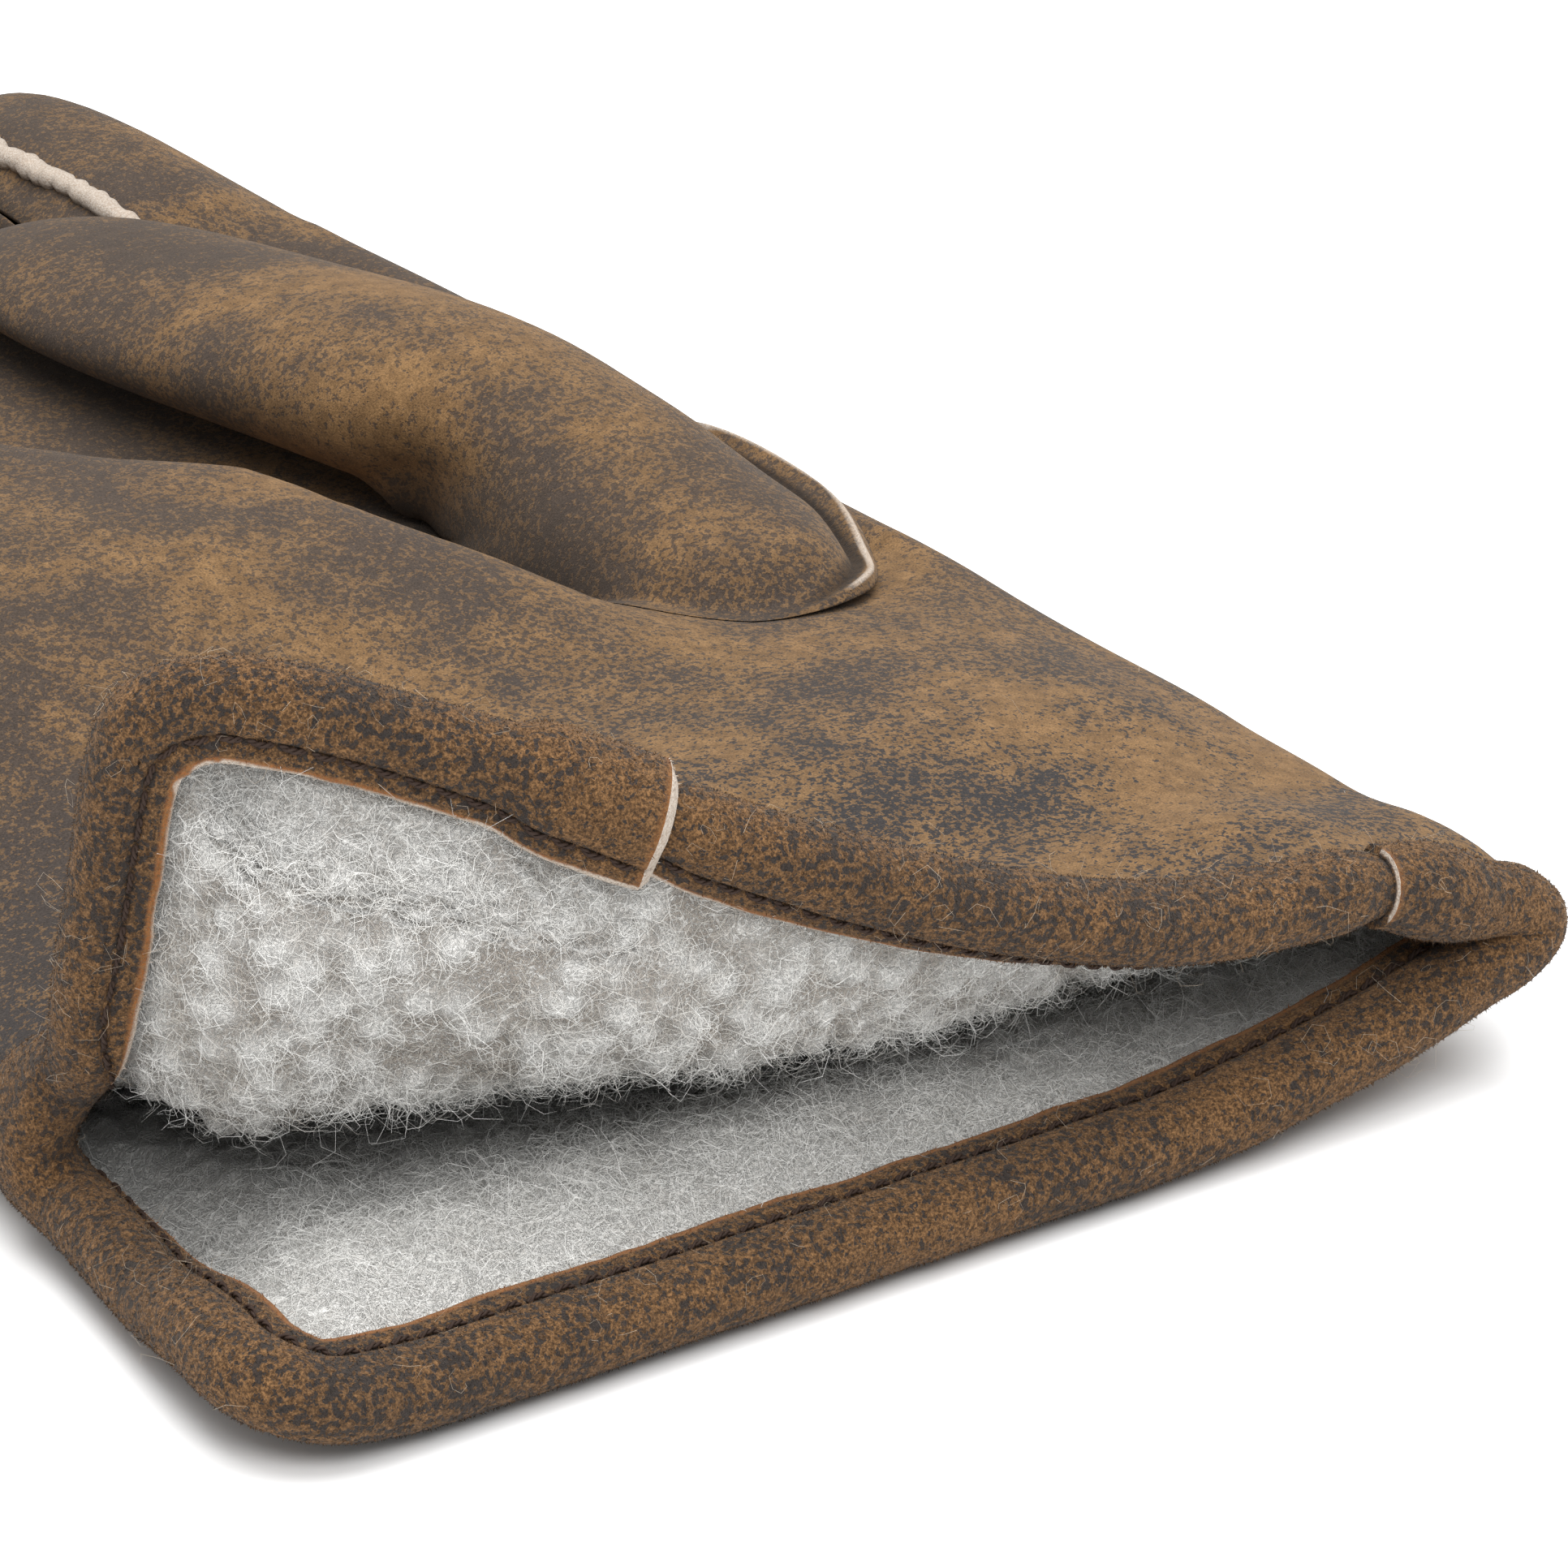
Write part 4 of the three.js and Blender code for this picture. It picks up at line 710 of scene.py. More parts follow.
# %% The thumb's seam
THUMB_LOOP = {"x": 35, "y": 92, "wide": 13.6, "long": 25, "blunt": 2.2, "turned": -4}
WELT = {"out": 1.6, "up": 2.4, "low_out": 0.5, "low_up": 1.95, "crease": 1.9}
WELT_STANDS = {"faces": 10, "from": -0.35, "to": 0.45}
LEANS_OVER = {"faces": 156, "from": 0.35, "to": 0.9}
CREST = {"pale": 0.62, "reach": (0.2, 0.9), "standing": (0.3, 0.9)}
CREASE_REACH = (0.5, 1.5)
THUMB_SHADE = {"dark": 0.75, "reach": (2.5, 6.5)}
PALM_SHADE = {"dark": 0.9, "reach": (0.5, 3.5)}
PRESSED = {"share": 0.9, "reach": (1.5, 6)}
LOOP_STEPS, HALVINGS = 720, 24


def over_palm(angle, margin, height):
    """Points over the palm beside the thumb's loop: margin outwards, height off the leather."""
    power = 2 / THUMB_LOOP["blunt"]
    c, s = np.cos(angle), np.sin(angle)
    across = (THUMB_LOOP["wide"] + margin) * np.sign(c) * np.abs(c) ** power
    along = (THUMB_LOOP["long"] + margin) * np.sign(s) * np.abs(s) ** power
    turn = math.radians(THUMB_LOOP["turned"])
    x = THUMB_LOOP["x"] + across * math.cos(turn) - along * math.sin(turn)
    y = THUMB_LOOP["y"] + across * math.sin(turn) + along * math.cos(turn)
    low, high = np.full(x.shape, FOLD), np.full(x.shape, float(RING - SIDE))
    for _ in range(HALVINGS):
        place = (low + high) / 2
        beyond = skin(place, y)[..., 0] > x
        low, high = np.where(beyond, place, low), np.where(beyond, high, place)
    return skin(place, y) + skin_normal(place, y) * np.broadcast_to(height, x.shape)[..., None]


def facing(angle, part):
    """1 on the side of the loop that faces the part's way, in degrees, and 0 on the other."""
    return smooth(part["from"], part["to"], np.cos(angle - math.radians(part["faces"])))


def tree_of(line):
    """A search tree of places given in the glove's millimetres."""
    tree = kdtree.KDTree(len(line))
    for i, p in enumerate(to_frame(line)):
        tree.insert(Vector(p), i)
    tree.balance()
    return tree


def nearest(line, points):
    """For each point, the number of the line's nearest point and how far that is, in mm."""
    tree = tree_of(line)
    found = [tree.find(Vector(p)) for p in points]
    return np.array([f[1] for f in found]), np.array([f[2] for f in found]) / MM


def within(reach, distances):
    """1 up to the near end of the reach, falling to 0 at its far end."""
    return 1 - smooth(*reach, distances)


angles = np.linspace(0, 2 * math.pi, LOOP_STEPS, endpoint=False)
stands = facing(angles, WELT_STANDS)
leans = facing(angles, LEANS_OVER)
crest_out, crest_up = (mix(WELT["low_" + way], WELT[way], stands) for way in ("out", "up"))
crest = over_palm(angles, crest_out, crest_up)
crease = over_palm(angles, 0 * angles, WELT["crease"])

points = coordinates(thumb.data)
at_crest, from_crest = nearest(crest, points)
at_crease, from_crease = nearest(crease, points)
# Painted shade in the crease inside the welt, and a painted shadow on the thumb where it leans over the
# palm.
painted_shade = within(CREASE_REACH, from_crease) * mix(0.3, 1, stands[at_crease])
painted_shadow_on_thumb = THUMB_SHADE["dark"] * leans[at_crest] * within(THUMB_SHADE["reach"], from_crest)
paint(thumb.data, "painted_shade", np.maximum(painted_shade, painted_shadow_on_thumb))
pale_crest = CREST["pale"] * within(CREST["reach"], from_crest)
paint(thumb.data, "raw", pale_crest * smooth(*CREST["standing"], stands[at_crest]))
palm = BVHTree.FromObject(hand, bpy.context.evaluated_depsgraph_get())
press = PRESSED["share"] * (1 - stands[at_crest]) * within(PRESSED["reach"], from_crest)
for i in np.nonzero(press > 0.01)[0]:
    points[i] = mix(points[i], np.array(palm.find_nearest(Vector(points[i]))[0]), press[i])
set_coordinates(thumb.data, points)

# A painted shadow on the palm under the thumb's lean.
at_loop, from_loop = nearest(over_palm(angles, 0 * angles, 0.0), coordinates(hand.data))
palm_shadow_under_thumb = PALM_SHADE["dark"] * leans[at_loop] * within(PALM_SHADE["reach"], from_loop)
paint(hand.data, "painted_shade", palm_shadow_under_thumb)
print("welt points:", int((from_crest < 1).sum()), "pressed flat:", int((press > 0.3).sum()))

# %% [markdown]
# ## The index finger's raw seam
# On the front of the index finger the seam is sewn with its cut edges outside. They stand up
# as a pale, uneven cord: a tube along the seam, laid on the leather, whose radius wanders.

# %% The index finger's raw seam
SEAM = {"y": [57, 66, 80, 104], "x": [35.5, 34.6, 33.9, 34.2]}
CORD = {"radius": 1.2, "uneven": 0.45, "sides": 8, "flat": 0.8, "raised": 0.25, "step": 0.3}
CORD_PALE = 0.62
SWAYS = ((0.5, 4, 3.1), (0.2, 1.1, 7.7))
UNEVENNESS = (1, 1.6, 9.2)


def drift(y, height, length, seed):
    """A slow random wave along the seam."""
    return height * noise.noise(Vector((y / length, seed, 0)))


def tube_faces(rings, sides):
    """The quads of a tube whose points run round one ring after the other."""
    faces = []
    for ring in range(rings - 1):
        for j in range(sides):
            k = (j + 1) % sides
            start, beyond = ring * sides, (ring + 1) * sides
            faces.append((start + j, start + k, beyond + k, beyond + j))
    return faces


def cord(name, path, radii):
    """A closed tube through the points of a path."""
    ahead = unit(np.gradient(path, axis=0))
    level = unit(np.cross(ahead, [0, 0, 1.0]))
    over = np.cross(level, ahead)
    sides = CORD["sides"]
    turns = np.arange(sides) * 2 * math.pi / sides
    flat = CORD["flat"]
    rings = [path + radii[:, None] * (level * math.cos(a) + flat * over * math.sin(a)) for a in turns]
    points = np.stack(rings, 1).reshape(-1, 3)
    faces = tube_faces(len(path), sides)
    faces.append(tuple(reversed(range(sides))))
    faces.append(tuple((len(path) - 1) * sides + j for j in range(sides)))
    mesh = bpy.data.meshes.new(name)
    mesh.from_pydata((points * MM).tolist(), [], faces)
    face_outwards(mesh)
    return mesh


seam_y = np.arange(SEAM["y"][0], SEAM["y"][-1], CORD["step"])
seam_x = np.interp(seam_y, SEAM["y"], SEAM["x"])
path = []
for x, y in zip(seam_x, seam_y):
    sway = sum(drift(y, *wave) for wave in SWAYS)
    top = palm.ray_cast(Vector((x + sway, y, 60)) * MM, Vector((0, 0, -1)))[0]
    path.append(np.array(top) / MM + [0, 0, CORD["raised"]])
wobble = np.array([drift(y, *UNEVENNESS) for y in seam_y])
ends = np.minimum(smooth(0, 2, seam_y - seam_y[0]), smooth(0, 6, seam_y[-1] - seam_y))
radii = (CORD["radius"] + CORD["uneven"] * wobble) * mix(0.3, 1, ends)
cord_mesh = cord("index_seam", np.array(path), radii)
paint(cord_mesh, "raw", np.full(len(cord_mesh.vertices), CORD_PALE))
ride(link("index_seam", cord_mesh, LEATHER), "leather")
print("seam cord:", len(cord_mesh.polygons), "faces")

# %% [markdown]
# ## The cuff's binding
# A strip of suede is sewn along the outside, rolled over the edge of leather and wool, and
# stitched down inside, where its cut edge is left raw. Its cross-section is nearly the same
# all the way round, so the strip is swept: one profile, placed at every station along the
# rim. The profile dips where the stitches pull it down, its outer leg narrows towards the
# fold, and the raw edge wanders as hand-cut leather does.

# %% The rim
TIGHTEST = 0.5
VENT_STEPS = {"back_corner": 16, "back_edge": 34, "slot": 24, "palm_edge": 34, "palm_corner": 16}


def rim_place(kind, t, depth):
    """Place in the flat layout, depth millimetres in from the rim."""
    radius = np.maximum(CORNER - depth, TIGHTEST)
    c0, y0 = SLOT + depth + radius, depth + radius
    turn = t * math.pi / 2
    if kind == "slot":
        reach = SLOT + depth
        return reach * math.cos(math.pi * t), VENT_END - SLOT + reach * math.sin(math.pi * t)
    if kind == "palm_edge":
        return -(SLOT + depth), mix(VENT_END - SLOT, y0, t)
    if kind == "back_edge":
        return SLOT + depth, mix(y0, VENT_END - SLOT, t)
    if kind == "palm_corner":
        return -(c0 - radius * math.cos(turn)), y0 - radius * math.sin(turn)
    if kind == "back_corner":
        return c0 - radius * math.sin(turn), y0 - radius * math.cos(turn)
    return mix(-c0, c0 - RING, t), depth + 0 * c0


def rim_line(stations, depth):
    """The stations' places in the flat layout, depth millimetres in from the rim."""
    depths = np.broadcast_to(depth, len(stations))
    places = [rim_place(kind, t, d) for (kind, t), d in zip(stations, depths)]
    return (np.array(v, float) for v in zip(*places))


def on_hem(c):
    return "hem", (RING - c - SLOT - CORNER) / (RING - 2 * (SLOT + CORNER))


def hem_stations(start, end, step=0.8):
    count = max(2, int(abs(start - end) / step))
    return [on_hem(mix(start, end, i / count)) for i in range(count)]


def vent_stations():
    return [(kind, i / count) for kind, count in VENT_STEPS.items() for i in range(count)]


LAP_MIDDLE = {"from": STRIP_ENDS["middle"] + OVERLAP, "to": STRIP_ENDS["middle"]}
LAP_FAR = {"from": STRIP_ENDS["far"], "to": STRIP_ENDS["far"] - OVERLAP}
long_stations = (hem_stations(LAP_FAR["from"], SLOT + CORNER) + vent_stations()
                 + hem_stations(RING - SLOT - CORNER, LAP_MIDDLE["to"]) + [on_hem(LAP_MIDDLE["to"])])
short_stations = hem_stations(LAP_MIDDLE["from"], LAP_FAR["to"]) + [on_hem(LAP_FAR["to"])]
print(len(long_stations), "stations on the long strip,", len(short_stations), "on the short one")


# %% The profile
STITCH_IN = 1.75
FAR_NARROW = {"share": 0.42, "reach": (14, 62)}
LAP_RAISE = {"middle": 1.2, "far": 0.6}
THIN_LONG = {"start": 0.55, "end": 1.2, "reach": 0}
THIN_SHORT = {"start": 0.4, "end": 0.4, "reach": OVERLAP}
OUTSIDE = [(4.75, -1.15), (4.62, -0.75), (4.2, -0.4), (3.6, -0.14), (3.0, 0.0), (2.2, 0.0),
           (1.5, 0.0), (0.8, 0.0)]
INSIDE = [(0.6, 0.02), (1.1, -0.02), (1.45, -0.16), (1.6, -0.3), (STITCH_IN, -0.36), (1.92, -0.3),
          (2.15, -0.16), (2.6, -0.04), (3.2, 0.0), (3.75, -0.02), (4.1, -0.1)]
RAW = [(4.2, -0.32), (4.22, -0.6), (4.2, -0.92)]
ROLL_STEPS, ROLL_IN_FRONT = 12, 9
COLUMNS = np.arange(2 * (len(OUTSIDE) + ROLL_STEPS + 1 + len(INSIDE)) + len(RAW))
on_front = (COLUMNS >= len(OUTSIDE)) & (COLUMNS < len(OUTSIDE) + ROLL_IN_FRONT)
FRONT_ONLY, ALL_ROUND = np.where(on_front, 1.0, 0.15), np.ones(len(COLUMNS))
CUT_WANDERS = ((0.42, 7.0, 0), (0.14, 1.6, 3))
SWELLS = ((0.16, 9.0, 5), (0.07, 2.6, 7))
FOLD_OPENS, VENT_OPENS, SKIVED_OVER = (4, 24), (8, 20), 5
UNDERSIDE, END_OUT = 0.2, 0.05
EDGE_PALE, EDGE_NAP, STITCH_SHADE = [0.8, 0.99], 0.4, 0.5
BARE = {"below": 0.25, "least": 0.8, "beside": (214, 224)}
SHARP_FROM = math.radians(62)


def wander(s, seed, size):
    """A slow random line along the strip, from -1 to 1."""
    return np.array([noise.noise(Vector((v / size, seed, 0.3))) for v in s])


def waves_along(s, seed, waves):
    """Waves, each given by its height, length and change of seed, added up along the strip."""
    return sum(height * wander(s, seed + change, length) for height, length, change in waves)


def outside_width(c):
    """The strip's outer leg narrows towards the fold; 1 is its full width."""
    from_fold = np.abs(np.mod(c, RING) - FOLD)
    return mix(FAR_NARROW["share"], 1, smooth(*FAR_NARROW["reach"], from_fold))


def strip_sections(stations, lift, seed, thin):
    """Points, and what each is, for every cross-section of a strip that is thinned at its ends."""
    c, y = rim_line(stations, 0.0)
    open_cuff = smooth(*FOLD_OPENS, np.abs(np.mod(c, RING) - FOLD))
    from_vent = np.hypot(np.minimum(np.mod(c, RING), RING - np.mod(c, RING)), y - VENT_END)
    pressed = mix(WOOL_CREASED, WOOL_BOUND, open_cuff)
    pressed = pressed * mix(VENT_BOUND, 1, smooth(*VENT_OPENS, from_vent))
    pack = LEATHER_THICK + GAP + pressed
    on_edge, normal = skin(c, y), skin_normal(c, y)
    inward = skin(*rim_line(stations, 0.5)) - on_edge
    inward = unit(inward - normal * np.sum(inward * normal, -1, keepdims=True))
    centre = on_edge - normal * pack[:, None] / 2
    run = run_along(on_edge)
    cut, swell = waves_along(run, seed, CUT_WANDERS), waves_along(run, seed, SWELLS)
    fades = (thin["reach"], thin["reach"] + SKIVED_OVER)
    skived = np.minimum(mix(thin["start"], 1, smooth(*fades, run)),
                        mix(thin["end"], 1, smooth(*fades, run[-1] - run)))
    outside_share = outside_width(c)
    close = BINDING_GAP + lift
    away = close + (LEATHER_THICK + swell) * skived

    def at(depth, height):
        pc, py = rim_line(stations, depth)
        return skin(pc, py) + skin_normal(pc, py) * height[:, None]

    def arc(extra, turn):
        radius = (pack / 2 + extra)[:, None]
        return centre + normal * radius * math.cos(turn) - inward * radius * math.sin(turn)

    columns = []
    for depth, dip in OUTSIDE:
        narrow, high = depth * outside_share, away + dip
        below = at(np.minimum(narrow, BINDING_OUTSIDE), np.minimum(close, high - UNDERSIDE))
        columns.append((at(narrow, high), below))
    for i in range(ROLL_STEPS + 1):
        turn = math.pi * i / ROLL_STEPS
        columns.append((arc(away, turn), arc(close, turn)))
    for depth, dip in INSIDE:
        wandered = depth + cut * smooth(2.4, BINDING_INSIDE, depth)
        below = at(wandered, -pack - np.minimum(close, away + dip - UNDERSIDE))
        columns.append((at(wandered, -pack - away - dip), below))
    outer, inner = zip(*columns)
    raw = [at(depth + cut, -pack - away - dip) for depth, dip in RAW]
    plain = [0.0] * (len(outer) - len(INSIDE))
    hidden = [0.0] * len(inner)
    bare_rim = [smooth(BINDING_INSIDE - 1.2, BINDING_INSIDE - 0.4, d) for d, _ in INSIDE]
    # Painted shade in the dip where the stitches pull the strip down.
    stitch_shade = [STITCH_SHADE * within((0.1, 0.5), abs(d - STITCH_IN)) for d, _ in INSIDE]
    looks = {
        "rim": plain + bare_rim + [1.0] * len(RAW) + hidden,
        "raw": [0.0] * (len(outer) - 2) + EDGE_PALE + [1.0] * len(RAW) + hidden,
        "painted_shade": plain + stitch_shade + [0.0] * len(RAW) + hidden,
        "nap": [1.0] * (len(outer) - 2) + [EDGE_NAP] * (len(RAW) + 2) + hidden,
    }
    dip = len(plain) + [d for d, _ in INSIDE].index(STITCH_IN)
    seam = (outer[dip], unit(outer[dip] - inner[dip]))
    points = np.stack([*outer, *raw, *inner[::-1]], 1)
    return points, {key: np.array(values) for key, values in looks.items()}, seam


def strip_mesh(name, stations, lift, seed, thin, ends=((ALL_ROUND, END_OUT),) * 2):
    """The strip as a mesh; ends tells for its two cut ends how pale each column is and
    how far the underside reaches out."""
    points, looks, seam = strip_sections(stations, lift, seed, thin)
    pairs = (points.shape[1] - len(RAW)) // 2
    under = (np.arange(points.shape[1]) >= pairs + len(RAW))[:, None]
    for end, beside, slant in ((0, 1, ends[0][1]), (-1, -2, ends[1][1])):
        toward = points[end] - points[beside]
        toward = toward / np.linalg.norm(toward, axis=1).mean()
        extra = (points[end] + toward * np.where(under, slant, END_OUT))[None]
        points = np.concatenate([extra, points]) if end == 0 else np.concatenate([points, extra])
    count, around = points.shape[:2]
    faces = tube_faces(count, around)
    cap = [(i, i + 1, around - 2 - i, around - 1 - i) for i in range(pairs - 1)]
    cap.append(tuple(range(pairs - 1, pairs + len(RAW) + 1)))
    faces += [tuple(reversed(face)) for face in cap]
    faces += [tuple((count - 1) * around + j for j in face) for face in cap]
    mesh = bpy.data.meshes.new(name)
    mesh.from_pydata(to_frame(points.reshape(-1, 3)).tolist(), [], faces)
    order = np.arange(count)
    from_end = np.minimum(order, order[::-1])
    bare = np.array([bare_at(*stations[i]) for i in np.clip(order - 1, 0, len(stations) - 1)])
    painted = {key: np.tile(values, (count, 1)) for key, values in looks.items()}
    painted["raw"][:, pairs - 2] *= bare**2
    painted["raw"][:, pairs - 1] *= bare
    for end, (pale, _) in zip((0, -1), ends):
        painted["raw"][end] = pale
    for half, (pale, _) in zip((order < count / 2, order >= count / 2), ends):
        at_end = np.outer(np.clip(1.25 - 0.55 * from_end, 0, 1) * half, pale)
        painted["rim"] = np.maximum(painted["rim"], at_end)
    for key, values in painted.items():
        paint(mesh, key, values)
    face_outwards(mesh)
    mesh.set_sharp_from_angle(angle=SHARP_FROM)
    return mesh, seam


def bare_at(kind, t):
    """How much of the raw edge shows pale; most beside the middle lap."""
    c = np.mod(rim_place(kind, t, 0.0)[0], RING)
    if c < FOLD:
        return BARE["below"]
    lap = STRIP_ENDS["middle"]
    beside_lap = smooth(lap - 3, lap, c) * within(BARE["beside"], c)
    patchy = 0.9 + 0.35 * noise.noise(Vector((c / 3, t * 4, 5.5)))
    return mix(BARE["least"], 1, beside_lap) * patchy


def lap_lift(stations):
    """How far each station of the long strip is raised where it lies over the short one."""
    between = (LAP_FAR["from"] + LAP_MIDDLE["to"]) / 2
    far_end, middle_end = LAP_FAR["to"] - GAP, LAP_MIDDLE["from"] + GAP
    lift = []
    for kind, t in stations:
        c = RING - SLOT - CORNER - t * (RING - 2 * (SLOT + CORNER)) if kind == "hem" else 0
        if c < between:
            lift.append(LAP_RAISE["far"] * smooth(far_end - OVERLAP_RAMP, far_end, c))
        else:
            lift.append(LAP_RAISE["middle"] * within((middle_end, middle_end + OVERLAP_RAMP), c))
    return np.array(lift)


long_mesh, long_seam = strip_mesh("binding_long", long_stations, lap_lift(long_stations), 11.0,
                                  THIN_LONG, ((FRONT_ONLY, 0.1), (ALL_ROUND, 0.9)))
short_mesh, short_seam = strip_mesh("binding_short", short_stations, np.zeros(len(short_stations)),
                                    41.0, THIN_SHORT)
binding_long = ride(link("binding_long", long_mesh, BINDING), "binding", "cuff_binding_long")
binding_short = ride(link("binding_short", short_mesh, BINDING), "binding", "cuff_binding_short")
print("binding faces:", len(long_mesh.polygons), len(short_mesh.polygons))

# %% [markdown]
# ## The wool's body
# The wool's solid is copied and rounded, then its inner face is raised into soft knobs where
# the pile springs up. The knobs fade out towards the binding, which presses the wool flat,
# and towards the leather, so that the hidden side stays clear of it.

# %% The wool's body
SHOWN_TO, LOOKED_TO = 50, 90
WOOL_IN = 4.0
FINER_FROM = 1.5
SPRINGS_FROM = {"leather": (1.2, 3.0), "rim": (0.3, 4.0)}
CURLS_FROM = {"leather": (0.8, 1.25), "rim": (-0.1, 0.5)}
FACES_UP, SHADED = (0.2, 0.7), (8, 30)
KNOB = {"rounded": 12, "steep": 8, "middle": 0.44}
TUFTS = {"up": 2.9, "low": 2.0, "small": 1.2, "slow": 6}
RISES = {"up": 1.5, "low": 0.6, "small": 0.3, "slow": 0.4, "sunk": 0.55}
pile = smooth_copy("wool_pile", "wool_lining", 3, WOOL_MAT, 60, 2)
leather_tree = BVHTree.FromObject(hand, bpy.context.evaluated_depsgraph_get())


def edge_tree(depth):
    """The places along the rim that lie depth millimetres in, on the wool's inner face."""
    pc, py = rim_line(long_stations + short_stations, depth)
    return tree_of(skin(pc, py) - skin_normal(pc, py) * WOOL_IN)


rim_tree, under_tree = edge_tree(BINDING_INSIDE), edge_tree(BINDING_INSIDE - 0.8)

bm = bmesh.new()
bm.from_mesh(pile.data)
shown = [f for f in bm.faces if f.calc_center_median().y < (SHOWN_TO - HAND_MIDDLE) * MM
         and leather_tree.find_nearest(f.calc_center_median())[3] > FINER_FROM * MM]
shown_edges = list({e for f in shown for e in f.edges})
bmesh.ops.subdivide_edges(bm, edges=shown_edges, cuts=1, use_grid_fill=True)
bm.to_mesh(pile.data)
bm.free()
pile.data.shade_smooth()

points = coordinates(pile.data)
normals = np.zeros(3 * len(points))
pile.data.vertices.foreach_get("normal", normals)
normals = normals.reshape(-1, 3)
springs = np.zeros(len(points))
covers = np.zeros(len(points))
for i, p in enumerate(points):
    if p[1] > (LOOKED_TO - HAND_MIDDLE) * MM:
        continue
    from_leather = leather_tree.find_nearest(Vector(p))[3] / MM
    from_rim = rim_tree.find(Vector(p))[2] / MM
    springs[i] = smooth(*SPRINGS_FROM["leather"], from_leather) * smooth(*SPRINGS_FROM["rim"], from_rim)
    beyond = under_tree.find(Vector(p))[2] / MM - from_rim
    covers[i] = smooth(*CURLS_FROM["leather"], from_leather) * smooth(*CURLS_FROM["rim"], beyond)


def knob(p, size):
    """Height from 0 to 1 of rounded tufts about `size` millimetres across. A smooth
    minimum of the distances keeps the valleys between them from being sharp."""
    distances, _ = noise.voronoi(Vector(p) / (size * MM))
    near = -math.log(sum(math.exp(-KNOB["rounded"] * d) for d in distances)) / KNOB["rounded"]
    return 1 / (1 + math.exp(KNOB["steep"] * (near - KNOB["middle"])))


heights = np.full(len(points), 0.7)
lift = np.zeros(len(points))
shade = np.zeros(len(points))
for i in np.nonzero(springs)[0]:
    p = points[i]
    lower = smooth(*FACES_UP, normals[i][2])
    tuft = knob(p, mix(TUFTS["up"], TUFTS["low"], lower))
    slow = noise.noise(Vector(p) / (TUFTS["slow"] * MM))
    # Painted shade: the lower panel darker further into the cuff and towards the far side, where the folded
    # panel keeps the light off.
    shade[i] = lower * smooth(*SHADED, p[1] / MM + HAND_MIDDLE + 0.45 * max(p[0] / MM, 0))
    # knob is the tuft's height; the wool's finishes paint its low places darker, as shade.
    heights[i] = mix(tuft, 0.6 + 0.4 * tuft, lower) + 0.25 * slow
    small = RISES["small"] * knob(p + 0.011, TUFTS["small"])
    lift[i] = mix(RISES["up"], RISES["low"], lower) * tuft + small + RISES["slow"] * slow
set_coordinates(pile.data, points + normals * (springs * (lift - RISES["sunk"]) * MM)[:, None])
depth_in = within((SHOWN_TO - 22, SHOWN_TO - 4), points[:, 1] / MM + HAND_MIDDLE)
paint(pile.data, "pile", covers * depth_in * mix(0.45, 1, np.clip(heights, 0, 1)))
paint(pile.data, "knob", heights)
paint(pile.data, "painted_shade", shade)
ride(pile, "wool", "wool_lining")
print("wool faces:", len(pile.data.polygons), "springy points:", int((springs > 0.5).sum()))

# %% [markdown]
# ## Curls with Geometry Nodes
# The pile's curls are thousands of short spirals. One tree makes them all: it scatters points
# over the wool by the attribute painted above, sets one of three spirals on each at a random
# turn, bends them a little with noise and gives them a thickness. The instances are realized,
# so that what leaves Blender is a plain mesh. Each random number has a fixed seed, so every
# run makes the same wool.

# %% Node tree helper
FULL_TURN = 6.283
PER_SQUARE_METRE = 1e6


